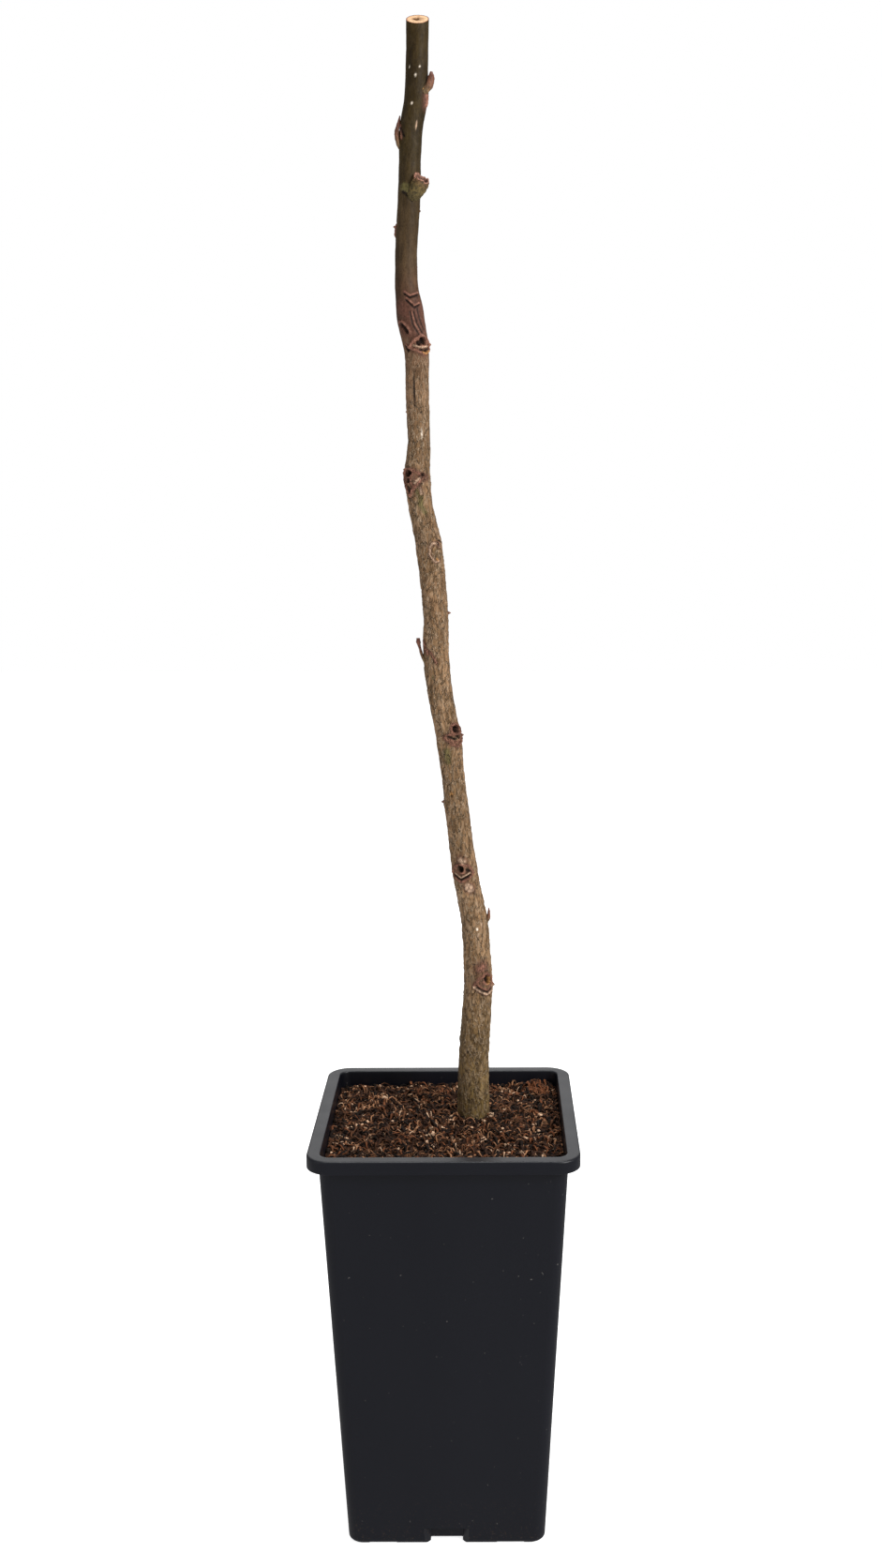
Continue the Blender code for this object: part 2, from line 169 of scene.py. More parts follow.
# The slanting cut: how far down it tilts the bark's rings, its rings of wood as shares of its width, and how
# uneven it is in millimetres. A ring of the pith is (place in the colours, share of its radius, depth).
CUT_HEIGHT = 729.8 * MM
CUT_SLOPE = 32
CUT_REACH = 30 * MM
CUT_RINGS = (1, 0.965, 0.93, 0.86, 0.78, 0.68, 0.58, 0.48)
CUT_WAVE = 0.12
CUT_COLOURS = (
    (0.30, (0.46, 0.25, 0.11)),
    (0.50, (0.62, 0.38, 0.19)),
    (0.86, (0.70, 0.46, 0.25)),
    (0.93, (0.42, 0.13, 0.045)),
    (0.99, (0.09, 0.040, 0.022)),
)
PITH_RADIUS = 2.3 * MM
PITH_OFFSET = (-0.9 * MM, 0, 0)
PITH_RINGS = ((0.4, 1, 0.1), (0.3, 0.92, 0.6), (0.2, 0.85, 2), (0.1, 0.6, 3), (0, 0.05, 3.2))

# The bark's shape, in millimetres and degrees. The noise of its net is drawn out along the stem.
SWELLINGS = (
    # height, azimuth, half height, half width, rise
    (98, -63, 11, 8.5, 1.5),
    (177, -101, 10, 8.5, 1.4),
    (272, -60, 11, 8.5, 1.7),
    (399, -36, 9, 5, 0.7),
    (444, -116, 11, 9.5, 1.9),
    (531, -62, 10, 8.5, 1.6),
    (545, -172, 10, 6, 1),
    (556, -15, 10, 6, 0.8),
    (60, 82, 9, 7.5, 1.2),
    (225, 118, 9, 7.5, 1.2),
    (355, 64, 9, 7, 1.2),
    (486, 100, 9, 7, 1.1),
    (602, 128, 8, 6, 1),
)
STEM_COLUMNS = 96
STEM_RINGS = 1000
FINE_STEP = 0.5
COARSE_STEP = 0.95
BARK_STRETCH = 0.42
RIDGE_RISE = 0.36
CRACK_DEPTH = 0.40
LUMP_RISE = 0.24
GRAIN_RISE = 0.08

# Marks on the bark, each round the middle of its scar: u runs to the right and v up, in millimetres.
# A hole is (u, v, half width, half height, depth). A stroke is (tone, width, rise, points).
# A sunken dark stroke is painted shade in its crease, and the inside of every hole is painted dark as shade.
HEART = (
    ("pink", 0.75, 0.75, ((-6.5, 0.2), (-3.4, 2.6), (0.2, 2.6), (4.4, 3.2), (6.6, 1.6))),
    ("pink", 0.8, 0.85, ((-6.5, 0.2), (-2.8, -3.6), (1.2, -5.4), (4.6, -3.2), (6.6, 1.6))),
    ("pink", 0.5, 0.45, ((-3.8, 0.4), (-1.6, -1.9), (1.4, -2.9), (3.8, -0.6))),
    ("dark", 0.55, -0.7, ((-4.4, 1.2), (-2.2, 0.2), (0.4, -0.6))),
    ("dark", 0.9, -1.2, ((1.8, 1), (3.4, 0.8))),
)
MARKS = {
    "scar_low": (98, -63, ((1.2, 4.9, 1.4, 2.5, 3.4),), (
        ("purple", 2.6, 0, ((-3, 1.5), (1.2, 3.5), (5, 0.5))),
        ("pink", 0.8, 0.8, ((-7.4, -0.6), (-4, 5), (0.6, 8.4), (4.8, 6), (7.4, -0.6))),
        ("pale", 0.8, 0.9, ((-7.4, -0.6), (-3.6, -3.6), (1.3, -6.3), (5.6, -4.4), (7.4, -0.6))),
        ("pink", 0.5, 0.4, ((-5, 0.6), (-1.5, -2), (1.4, -3.2), (5.2, -0.6))),
        ("dark", 0.45, -0.5, ((-5.4, -0.8), (-1.6, -3.4), (1.3, -4.6), (4.8, -2.8))),
        ("orange", 0.7, 0.5, ((3, 5.4), (3, 2.9), (1.6, 1.6))),
        ("pink", 2.2, 0.25, ((-2.8, 12), (-0.5, 13.5))),
    )),
    "scar_second": (177, -101, ((-0.7, 4.4, 1.7, 1.9, 3.4),), (
        ("purple", 2.4, 0, ((-4, 1), (0, 0.5), (4, 1.5))),
        ("pink", 0.7, 0.7, ((-7.2, 1.8), (-3.9, 6.4), (0.2, 7.6), (4.6, 6.8), (7.4, 1.7))),
        ("pink", 0.7, 0.8, ((-7.2, 1.8), (-6, -1.6), (-1.4, -4.8), (4.4, -1.2), (7.4, 1.7))),
        ("pale", 0.5, 0.5, ((-5.1, 1.4), (-1, -1.8), (5.1, 1.8))),
        ("dark", 0.5, -0.6, ((-5.4, -0.2), (-1.2, -3.2), (4.8, 0.4))),
        ("dark", 0.9, -0.8, ((3.6, 3.8), (4.6, 3.2))),
        ("pale", 1.6, 0.3, ((1.7, 9.6), (0.2, 10.6))),
        ("pale", 1.1, 0.3, ((2, -6.8), (4.2, -8), (4.6, -10.2), (2.6, -11.2), (1, -9.4), (2, -6.8))),
    )),
    "scar_middle": (272, -60, ((1.7, 6, 2.1, 2.3, 3.6),), (
        ("pink", 0.7, 0.9, (
            (-1, 6), (0.4, 8.6), (2.6, 9), (4.6, 7.6), (4.6, 4.6), (1.6, 3.2), (-1, 6),
        )),
        *HEART,
        ("green", 2.2, 0, ((-6, -9), (-6.4, -16))),
    )),
    "scar_upper": (444, -116, (
        (-1.8, 3.2, 1.7, 1.9, 3), (-1.9, -1.3, 1.1, 1.3, 1.6), (6.7, 2.2, 1, 1, 1.5),
    ), (
        ("purple", 3, 0, ((-2, 1), (2, 0), (9, 0.5))),
        ("pink", 0.8, 0.9, ((-3.4, 6), (0.5, 5.4), (3.1, 4), (6.9, 1.2))),
        ("pink", 0.8, 0.9, ((6.9, 1.2), (3.6, -3.6), (0.6, -7), (-2.2, -11.4))),
        ("pink", 0.8, 0.9, ((-3.4, 6), (-5.8, 0.5), (-5, -5), (-2.2, -11.4))),
        ("pink", 0.5, 0.5, ((0.4, 2.8), (-0.4, -2), (0.6, -6))),
        ("dark", 0.6, -0.6, ((-2.6, -5.6), (-1.8, -8.4))),
        ("pale", 0.7, 0.5, ((2, -3), (5, 0.2))),
        ("green", 1.6, 0.25, ((3, -8), (5, -12), (4, -17), (6, -22))),
        ("pale", 0.6, 0.3, ((4.8, -6.2), (5.4, -10))),
    )),
    "scar_high": (531, -62, ((0.8, 0.8, 1.8, 2.1, 3.2), (-1.9, -0.8, 1.1, 1.4, 2)), (
        ("pink", 0.8, 0.9, ((-7.8, -3.2), (-3.4, 1.8), (0.8, 3.6), (4.4, 2), (7.2, -1))),
        ("pink", 0.8, 0.9, ((-7.8, -3.2), (-3, -5.4), (1.8, -7.6), (5.2, -5.4), (7.2, -1))),
        ("pale", 0.6, 0.7, ((-4.6, -2.4), (-0.4, -3.6), (3.8, -2.6))),
        ("orange", 0.7, 0.6, ((0.2, -6.2), (2, -7.2), (4, -5.6))),
        ("dark", 0.5, -0.7, ((-1.4, -5.2), (1.8, -5.6), (4.2, -4.2))),
        ("dark", 0.7, -0.8, ((-11, -2.4), (-9, -5.4))),
        ("pink", 0.6, 0.5, ((-10.6, -1.6), (-8.2, -3.6))),
    )),
    "node_high": (556, -75, (), (
        ("purple", 5.5, 0, ((-6, -4), (0, -9), (5, -3))),
        ("purple", 5.5, 0, ((-7, -16), (0, -20), (5, -14))),
        ("dark", 0.5, -0.7, ((-3.7, 5.2), (-0.6, 2.8), (5.8, 5))),
        ("pink", 0.5, 0.5, ((-3.4, 6.4), (-0.4, 4), (6, 6.2))),
        ("dark", 0.5, -0.7, ((-3.2, 1.2), (1.2, -3.4), (5, -1.6))),
        ("pink", 0.5, 0.5, ((-2.6, 2.6), (1.6, -2), (5.2, -0.4))),
        ("dark", 0.9, -1.1, ((-9.6, -13.6), (-7.6, -15.6), (-5.8, -18.6))),
        ("pink", 0.7, 0.9, ((-11, -12.2), (-8.2, -12.4), (-5.4, -15.4), (-4.2, -19.4))),
        ("dark", 0.4, -0.3, ((-2, -6), (-1.6, -14), (1, -20))),
        ("dark", 0.4, -0.3, ((0.4, -6), (1.2, -13), (3.4, -19))),
        ("dark", 0.4, -0.3, ((3.2, -4), (3.8, -12), (5.4, -17))),
        ("pink", 0.4, 0.25, ((-0.8, -6), (-0.2, -14), (2.2, -20))),
    )),
    "loop": (399, -60, ((2.6, 2.2, 0.7, 0.9, 0.8),), (
        ("pale", 0.6, 0.4, ((-3.6, 0), (-1.6, 2.6), (1.6, 2.6), (3.4, 0.2))),
        ("pale", 0.5, 0.3, ((-3.6, 0), (-4.6, -5), (-1.2, -9.6), (2.4, -8.6))),
        ("dark", 0.5, -0.5, ((3.6, 4.6), (6.6, 3.2))),
        ("orange", 0.6, 0.1, ((0.2, -7.6), (0.7, -8.4))),
    )),
    "spur_root": (328, -130, (), (
        ("pink", 0.6, 0.7, ((-4.8, 8.6), (-1.8, 4.6), (0.2, 0.6))),
        ("pink", 0.5, 0.5, ((0.2, 2.6), (3, 1), (6.2, -5.6))),
        ("purple", 1.4, 0, ((-3.8, 2.4), (0.2, 1))),
    )),
    "bud_left_root": (660, -133, (), (
        ("dark", 0.6, -0.8, ((-2.4, 3.4), (-0.4, 0.6), (1, -2))),
        ("pink", 0.5, 0.4, ((-3.6, 5.4), (-1.8, 2.2), (-1, -3))),
    )),
    "shoot_root": (622, -78, (), (
        ("green", 2.8, 0.8, ((-4.6, 4.6), (-1.4, 3.2), (2.4, 0.6))),
        ("dark", 0.7, -0.7, ((-5.4, 2), (-2, -0.2), (0.8, -3.2))),
    )),
    "bulge_top": (679, -22, (), (
        ("pink", 1.6, 0.8, ((-0.6, 3.4), (0.4, -1.6))),
        ("orange", 1, 0.5, ((-3.6, 7.2), (-0.6, 6.8))),
    )),
}
BACK_SCARS = ((60, 82), (225, 118), (355, 64), (486, 100), (602, 128))
BACK_HOLE = (0, 4.6, 1.7, 1.9, 2.8)
SPECKS = (
    # height, azimuth, half width, half height, rise, tone: lenticels, knots and small wounds; a sunken dark
    # one is painted shade in its pit
    (694.5, -94, 0.7, 0.9, 0.25, "white"),
    (699.8, -73, 0.5, 0.7, 0.25, "white"),
    (700, -128, 0.5, 0.6, 0.2, "white"),
    (677.5, -103, 0.6, 0.9, 0.25, "white"),
    (664.5, -62, 0.5, 2.6, 0.2, "pale"),
    (725, -150, 0.6, 0.8, 0.5, "dark"),
    (613, -12, 0.7, 0.8, 0.8, "purple"),
    (578, -22, 0.7, 0.9, 0.8, "purple"),
    (486.6, -73, 0.7, 0.8, -0.7, "dark"),
    (472.8, -73, 0.5, 3.4, 0.25, "white"),
    (500, -104, 0.8, 12, -0.35, "dark"),
    (313, -112, 0.6, 1.6, -0.4, "green"),
    (248, -155, 0.6, 0.9, -0.5, "dark"),
    (245, -150, 0.9, 1, -0.8, "dark"),
    (233.2, -108, 1.1, 1.9, -0.8, "orange"),
    (232, -110, 0.6, 1.1, -0.9, "dark"),
    (138.5, -82, 0.8, 1, 0.3, "white"),
    (134, -80, 0.7, 1, 0.3, "pale"),
    (142, -60, 0.4, 2.6, 0.25, "pale"),
    (49.2, -117, 0.9, 1.3, -0.5, "dark"),
    (57, -176, 1, 2.2, 0.7, "dark"),
)

# The bark's plain colour at each height over the compost
BARK_ZONES = (
    (0.00, (0.205, 0.142, 0.052)),
    (0.05, (0.265, 0.176, 0.080)),
    (0.10, (0.262, 0.160, 0.083)),
    (0.42, (0.265, 0.160, 0.088)),
    (0.50, (0.225, 0.135, 0.075)),
    (0.545, (0.100, 0.044, 0.027)),
    (0.58, (0.066, 0.040, 0.018)),
    (0.65, (0.036, 0.023, 0.004)),
    (0.73, (0.044, 0.027, 0.004)),
)
TONES = {
    "green": (0.12, 0.105, 0.035),
    "purple": (0.11, 0.046, 0.031),
    "pink": (0.27, 0.125, 0.085),
    "pale": (0.52, 0.36, 0.25),
    "orange": (0.50, 0.25, 0.08),
    "white": (0.78, 0.70, 0.58),
    # The dark tone is painted shade in sunken creases, scar holes and pits, and the real colour of the few
    # raised dark knots
    "dark": (0.012, 0.006, 0.004),
}
BARK_TINTS = (
    # strength, then the noise's scale, detail and stretch, then stops of (value, colour)
    (1, 70, 4, (1, 1, 0.4), (0.35, (0.66, 0.62, 0.52)), (0.62, (1.12, 1.10, 1.08))),
    (0.8, 420, 3, (1, 1, 0.22), (0.32, (0.62, 0.57, 0.50)), (0.66, (1.22, 1.20, 1.16))),
    (0.6, 1500, 2, (1, 1, 0.6), (0.36, (0.55, 0.48, 0.42)), (0.52, WHITE)),
)

# The buds, each as (piece, solid, azimuth, route, widths, thicknesses, colour of the tip, seed).
# A point of a route is (height, azimuth, distance out), all in millimetres and degrees.
BUD_SCALES = 3
BUD_COLOURS = ((0.1, (0.15, 0.10, 0.045)), (0.45, (0.17, 0.075, 0.042)))
BUD_MOTTLE = ((0.32, (0.42, 0.36, 0.33)), (0.66, (1.25, 1.2, 1.15)))
RED = (0.14, 0.050, 0.030)
BUDS = (
    (
        "bud_top_right_scales", "bud_top_right", -30,
        ((684.5, -48, -1.4), (687, -34, 0.6), (690.5, -27, 2.3), (694, -25, 2.9), (697, -24, 2.9)),
        (2, 2.4, 2.5, 2.1, 1), (1.7, 2, 2.1, 1.8, 0.8), RED, 1,
    ),
    (
        "bud_top_left_scales", "bud_top_left", -172,
        ((650, -165, -1), (655, -170, 0.7), (661, -170, 1.5), (667, -168, 0.9), (671, -166, 0.8)),
        (1.2, 2, 2.1, 1.2, 0.5), (1, 1.4, 1.5, 0.9, 0.4), RED, 2,
    ),
    (
        "spur_left_stalk", "spur_left", -172,
        ((322.5, -162, -1), (327, -168, 0.9), (332, -174, 2.2), (336, -177, 3.2), (338.6, -178, 3.4)),
        (1.6, 1.2, 0.9, 1.4, 1.2), (1.3, 1, 0.8, 1.4, 1.2), (0.15, 0.055, 0.035), 3,
    ),
    (
        "bud_low_right_scales", "bud_low_right", -6,
        ((142, -12, -1), (145, -8, 0.8), (149, -6, 1.8), (152, -6, 2.3)),
        (1.7, 1.6, 1.2, 0.4), (1.3, 1.3, 0.9, 0.3), RED, 4,
    ),
    (
        "bud_back_scales", "bud_back", 96,
        ((290.5, 96, -1), (294, 96, 0.9), (298, 96, 2), (301, 96, 2.3)),
        (1.8, 1.9, 1.3, 0.4), (1.4, 1.5, 1, 0.3), RED, 5,
    ),
    (
        "bud_top_back_scales", "bud_top_back", 84,
        ((698.5, 84, -1), (702, 84, 0.9), (706, 84, 1.9), (709, 84, 2.2)),
        (1.7, 1.8, 1.2, 0.4), (1.4, 1.4, 0.9, 0.3), RED, 6,
    ),
)

# The broken shoot's stub. A ring of its hollow is (size, depth, how torn, how much painted shade darkens it).
STUB_ROUTE = ((620.5, -62, -3), (624, -54, 0.6), (628, -48, 3.2), (632, -45, 4.4))
STUB_KNOTS = (0, 0.3, 0.7, 1)
STUB_WIDTHS = (4.2, 5.2, 5.7, 5.2)
STUB_THICKNESSES = (3.2, 4.2, 4.6, 4.2)
STUB_HOLLOW = (
    (0.93, 0.2, 1, 0),
    (0.84, -0.4, 0.9, 0.35),
    (0.76, -2, 0.5, 0.85),
    (0.55, -3.6, 0.4, 0.95),
    (0.25, -3.4, 0.4, 0.8),
    (0.02, -3.6, 0.4, 0.85),
)
STUB_COLOURS = ((0.1, (0.075, 0.055, 0.016)), (0.55, (0.12, 0.085, 0.024)), (0.92, (0.10, 0.05, 0.02)))
STUB_MOTTLE = ((0.34, (0.40, 0.38, 0.34)), (0.64, (1.25, 1.2, 1.15)))

# Litter on the compost, by colour
LITTER_COLOURS = {
    "black": (0.010, 0.005, 0.003),
    "dark": (0.034, 0.014, 0.007),
    "brown": (0.100, 0.041, 0.018),
    "red": (0.160, 0.056, 0.022),
    "tan": (0.330, 0.160, 0.080),
    "pale": (0.600, 0.390, 0.250),
}
LITTER_SHADES = ((0.35, 0.55), (0.5, 1), (0.66, 1.35))  # value of the noise, brightness
CRUMBS = (
    # colour, count, smallest and largest size in millimetres
    ("black", 1500, 0.8, 2.2),
    ("dark", 1500, 0.6, 2.3),
    ("brown", 900, 0.5, 1.9),
    ("red", 420, 0.5, 1.8),
    ("tan", 380, 0.4, 1.3),
)
FIBRES = (
    # colour, count, shortest, longest and width in millimetres
    ("black", 500, 5, 14, 0.85),
    ("dark", 800, 5, 15, 0.80),
    ("brown", 800, 4, 14, 0.70),
    ("red", 420, 4, 11, 0.75),
    ("tan", 640, 4, 12, 0.50),
    ("pale", 210, 3, 9, 0.42),
)
# Places seen from above, in millimetres
PEBBLES = ((-9.4, -13.3), (-2.9, -11.6), (-9, -23.5), (-11.8, -35.1), (-7.8, -40))
LONG_CHIP = (-46.5, 47.6)
CLUMP = (65, 64)


# Meshes


def add_object(name, data):
    """An object of some data, linked to the scene."""
    made = bpy.data.objects.new(name, data)
    bpy.context.scene.collection.objects.link(made)
    return made


def add_mesh(name, vertices, faces, smooth=True):
    """A mesh object from arrays of vertices and of faces that have the same number of corners."""
    vertices = np.asarray(vertices, np.float32)
    faces = np.asarray(faces, np.int32)
    mesh = bpy.data.meshes.new(name)
    mesh.vertices.add(len(vertices))
    mesh.vertices.foreach_set("co", vertices.ravel())
    mesh.loops.add(faces.size)
    mesh.loops.foreach_set("vertex_index", faces.ravel())
    mesh.polygons.add(len(faces))
    mesh.polygons.foreach_set("loop_start", np.arange(0, faces.size, faces.shape[1], dtype=np.int32))
    mesh.update(calc_edges=True)
    mesh.validate()
    if smooth:
        mesh.shade_smooth()
    return add_object(name, mesh)


def from_bmesh(name, bm):
    """An object of a finished bmesh."""
    bmesh.ops.recalc_face_normals(bm, faces=bm.faces)
    mesh = bpy.data.meshes.new(name)
    bm.to_mesh(mesh)
    bm.free()
    return add_object(name, mesh)


def add_values(thing, name, values):
    """Keeps one number for each vertex on the mesh, for its material to read."""
    layer = thing.data.attributes.new(name, "FLOAT", "POINT")
    layer.data.foreach_set("value", np.asarray(values, np.float32).ravel())


def ring_faces(rings, columns):
    """Quads between closed rings of vertices that are numbered ring by ring."""
    low = np.arange(rings - 1)[:, None] * columns
    here = np.arange(columns)[None, :]
    beside = (here + 1) % columns
    quads = np.stack([low + here, low + beside, low + columns + beside, low + columns + here], -1)
    return quads.reshape(-1, 4)


def circle(sides):
    """Angles evenly round a circle."""
    return 2 * math.pi * np.arange(sides) / sides


def rough(points, scale, offset=0.0):
    """Smooth noise from about -1 to 1 at each of an array of points."""
    moved = np.asarray(points, float) * scale + offset
    return np.fromiter((noise.noise(p) for p in moved.tolist()), float, len(moved))


# Materials


class Look:
    """A material whose nodes are added by short calls."""

    def __init__(self, name, specular):
        self.material = bpy.data.materials.new(name)
        self.material.use_nodes = True
        self.tree = self.material.node_tree
        self.shader = self.tree.nodes["Principled BSDF"]
        self.shader.inputs["Specular IOR Level"].default_value = specular
        self.place = self.add("TexCoord").outputs["Object"]

    def feed(self, socket, value):
        """Gives a socket a link, a colour, a vector or a number."""
        if isinstance(value, bpy.types.NodeSocket):
            self.tree.links.new(value, socket)
        elif socket.type == "RGBA":
            socket.default_value = (*value, 1)
        else:
            socket.default_value = value

    def add(self, kind, inputs=(), **settings):
        """A node with its settings and what goes into it."""
        node = self.tree.nodes.new("ShaderNode" + kind)
        for key, value in settings.items():
            setattr(node, key, value)
        for key, value in dict(inputs).items():
            self.feed(node.inputs[key], value)
        return node

    def noise(self, scale, detail=3, stretch=(1, 1, 1)):
        """Noise at the mesh's own coordinates, drawn out along an axis if asked."""
        place = self.add("Mapping", {"Vector": self.place, "Scale": stretch}).outputs["Vector"]
        return self.add("TexNoise", {"Vector": place, "Scale": scale, "Detail": detail}).outputs["Fac"]

    def ramp(self, value, stops):
        """A colour for each value, by stops of (value, colour)."""
        node = self.add("ValToRGB", {"Fac": value})
        points = node.color_ramp.elements
        while len(points) < len(stops):
            points.new(0.5)
        for point, (where, colour) in zip(points, stops):
            point.position = where
            point.color = (*colour, 1)
        return node.outputs["Color"]

    def lines(self, value, half):
        """White lines on black, where a value passes its middle."""
        return self.ramp(value, ((0.5 - half, BLACK), (0.5, WHITE), (0.5 + half, BLACK)))

    def mix(self, factor, first, second, blend="MIX"):
        """Two colours mixed."""
        node = self.add("Mix", {0: factor, 6: first, 7: second}, data_type="RGBA", blend_type=blend)
        return node.outputs[2]

    def tint(self, strength, colour, value, stops):
        """A colour multiplied by a ramp."""
        return self.mix(strength, colour, self.ramp(value, stops), "MULTIPLY")

    def attribute(self, name):
        """A number that the mesh keeps for each vertex."""
        return self.add("Attribute", attribute_name=name).outputs["Fac"]

    def height(self):
        """The height over the floor."""
        return self.add("SeparateXYZ", {"Vector": self.place}).outputs["Z"]

    def scale(self, value, low, high, start=0, end=1):
        """A value between a start and an end, brought between a low and a high one."""
        ends = {"From Min": start, "From Max": end, "To Min": low, "To Max": high}
        return self.add("MapRange", {"Value": value, **ends}).outputs["Result"]

    def paint(self, colour, roughness, *bumps):
        """Sets the colour and the roughness, and adds bumps of (height, depth in metres, strength)."""
        self.feed(self.shader.inputs["Base Color"], colour)
        self.feed(self.shader.inputs["Roughness"], roughness)
        layer = {}
        for height, depth, strength in bumps:
            layer.update({"Height": height, "Distance": depth, "Strength": strength})
            layer["Normal"] = self.add("Bump", layer).outputs["Normal"]
        if bumps:
            self.feed(self.shader.inputs["Normal"], layer["Normal"])


def dress(piece, look, slot, *nodes):
    """Gives a piece its material and says what it stands for; the slot is not used."""
    piece.data.materials.clear()
    piece.data.materials.append(look.material)
    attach(piece, "root")
    if nodes:
        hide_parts(*nodes)


# The studio


def make_camera():
    """The camera, at the photograph's place and angle."""
    camera = bpy.data.cameras.new("camera")
    camera.sensor_width = SENSOR
    camera.lens = SENSOR * FOCAL_PIXELS / IMAGE_HEIGHT
    camera.shift_x = (IMAGE_WIDTH / 2 - OPTICAL_CENTRE_X) / IMAGE_HEIGHT
    camera.clip_start = CAMERA_NEAREST
    made = add_object("camera", camera)
    made.location = CAMERA_PLACE
    tilt = Matrix.Rotation(math.radians(90 - CAMERA_PITCH), 4, "X")
    made.rotation_euler = (tilt @ Matrix.Rotation(math.radians(-CAMERA_ROLL), 4, "Z")).to_euler()
    bpy.context.scene.camera = made


def make_softbox(name, place, aim, size, power):
    """A square area light that faces a point."""
    light = bpy.data.lights.new(name, "AREA")
    light.size = size
    light.energy = power
    made = add_object(name, light)
    made.location = place
    made.rotation_euler = (Vector(aim) - Vector(place)).to_track_quat("-Z", "Y").to_euler()


def make_surround():
    """Soft light from all round, with plain white behind the object."""
    world = bpy.data.worlds.new("studio")
    bpy.context.scene.world = world
    world.use_nodes = True
    tree = world.node_tree
    soft = tree.nodes["Background"]
    white = tree.nodes.new("ShaderNodeBackground")
    for node, strength in ((soft, SURROUND_LIGHT), (white, 1)):
        node.inputs["Color"].default_value = (1, 1, 1, 1)
        node.inputs["Strength"].default_value = strength
    seen = tree.nodes.new("ShaderNodeLightPath").outputs["Is Camera Ray"]
    either = tree.nodes.new("ShaderNodeMixShader")
    for socket, output in zip(either.inputs, (seen, soft.outputs[0], white.outputs[0])):
        tree.links.new(output, socket)
    tree.links.new(either.outputs[0], tree.nodes["World Output"].inputs[0])


def make_studio():
    """The lights and a plain pale floor."""
    scene = bpy.context.scene
    scene.view_settings.view_transform = "Standard"
    scene.view_settings.look = "None"
    make_surround()
    for light in LIGHTS:
        make_softbox(*light)
    corners = [(x * FLOOR_HALF, y * FLOOR_HALF, 0) for x, y in ((-1, -1), (1, -1), (1, 1), (-1, 1))]
    floor = add_mesh("floor", corners, [(0, 1, 2, 3)], smooth=False)
    look = Look("floor_paint", 0.1)
    look.paint(look.ramp(look.noise(2), ((0.3, (0.80, 0.80, 0.80)), (0.7, (0.83, 0.83, 0.83)))), 0.9)
    look.shader.inputs["Emission Color"].default_value = (1, 1, 1, 1)
    look.shader.inputs["Emission Strength"].default_value = FLOOR_GLOW
    floor.data.materials.append(look.material)
    floor.visible_glossy = False


# The pot


def rounded_square(half, corner, turns=14, sides=22):
    """The outline of a square with round corners, always with as many points."""
    corner = max(min(corner, half * 0.98), 1e-5)
    straight = half - corner
    side = [(half, -straight + 2 * straight * (i / sides)) for i in range(1, sides)]
    for angle in np.radians(np.linspace(0, 90, turns)):
        side.append((straight + corner * math.cos(angle), straight + corner * math.sin(angle)))
    points = []
    for turn in np.radians(QUARTERS):
        cosine = math.cos(turn)
        sine = math.sin(turn)
        points += [(x * cosine - y * sine, x * sine + y * cosine) for x, y in side]
    return np.array(points)


def level_ring(half, z, corner, **points):
    """A rounded square at a height."""
    outline = rounded_square(half, corner, **points)
    return np.column_stack([outline, np.full(len(outline), z)])


def half_width(z):
    """Half the width of the pot's body at a height over its base."""
    return (BODY_BASE_WIDTH + (BODY_TOP_WIDTH - BODY_BASE_WIDTH) * z / POT_HEIGHT) / 2


def pot_profile():
    """The pot's section as (half width, height, corner radius), from its underside up, over and in."""
    section = [(PINHOLE, 0, PINHOLE / 2), (half_width(0) * 0.6, 0, BODY_CORNER * 0.6)]

    def bend(corner, wide, z, size, start, end, steps):
        """Adds an arc round a centre, with its angles in degrees."""
        for angle in np.radians(np.linspace(start, end, steps)):
            section.append((wide + size * math.cos(angle), z + size * math.sin(angle), corner))

    top = POT_HEIGHT
    under = top - RIM_PLATE
    skirt = top - RIM_DROP + SKIRT_EDGE
    bend(BODY_CORNER, half_width(BASE_EDGE) - BASE_EDGE, BASE_EDGE, BASE_EDGE, -90, 0, 8)
    for z in np.linspace(BASE_EDGE + 4 * MM, under - 1.2 * MM, 46):
        section.append((half_width(z), z, BODY_CORNER))
    root = ROOT_EDGE
    bend(BODY_CORNER + 1 * MM, half_width(under) + root, under - root, root, 180, 90, 5)
    rim = RIM_WIDTH / 2
    hollow = rim - WALL
    inset = HOLLOW_EDGE
    bend(RIM_CORNER - WALL, hollow - inset, under - inset, inset, 90, 0, 5)
    bend(RIM_CORNER - WALL, hollow + SKIRT_EDGE, skirt, SKIRT_EDGE, 180, 270, 4)
    bend(RIM_CORNER, rim - SKIRT_EDGE, skirt, SKIRT_EDGE, -90, 0, 4)
    section.append((rim, top - RIM_DROP / 2, RIM_CORNER))
    bend(RIM_CORNER, rim - RIM_EDGE, top - RIM_EDGE, RIM_EDGE, 0, 90, 7)
    mouth = half_width(top) - WALL + MOUTH_EDGE
    corner = BODY_CORNER - WALL
    for share in (0.2, 0.4, 0.6, 0.8):
        wide = (rim - RIM_EDGE) * (1 - share) + mouth * share
        section.append((wide, top, RIM_CORNER * (1 - share) + corner * share))
    bend(corner, mouth, top - MOUTH_EDGE, MOUTH_EDGE, 90, 180, 6)
    floor = FLOOR_RISE + WALL
    for z in np.linspace(top - 4 * MM, floor + BASE_EDGE, 22):
        section.append((half_width(z) - WALL, z, corner))
    low = half_width(floor) - WALL
    bend(corner, low - BASE_EDGE, floor + BASE_EDGE, BASE_EDGE, 0, -90, 5)
    section += [(low * 0.5, floor, corner * 0.5), (PINHOLE, floor, PINHOLE / 2)]
    return section


def block(name, low, high):
    """A plain box between two corners, for cutting."""
    bm = bmesh.new()
    middle = (Vector(low) + Vector(high)) / 2
    size = Vector(high) - Vector(low)
    bmesh.ops.create_cube(bm, size=1, matrix=Matrix.Translation(middle) @ Matrix.Diagonal((*size, 1)))
    return from_bmesh(name, bm)


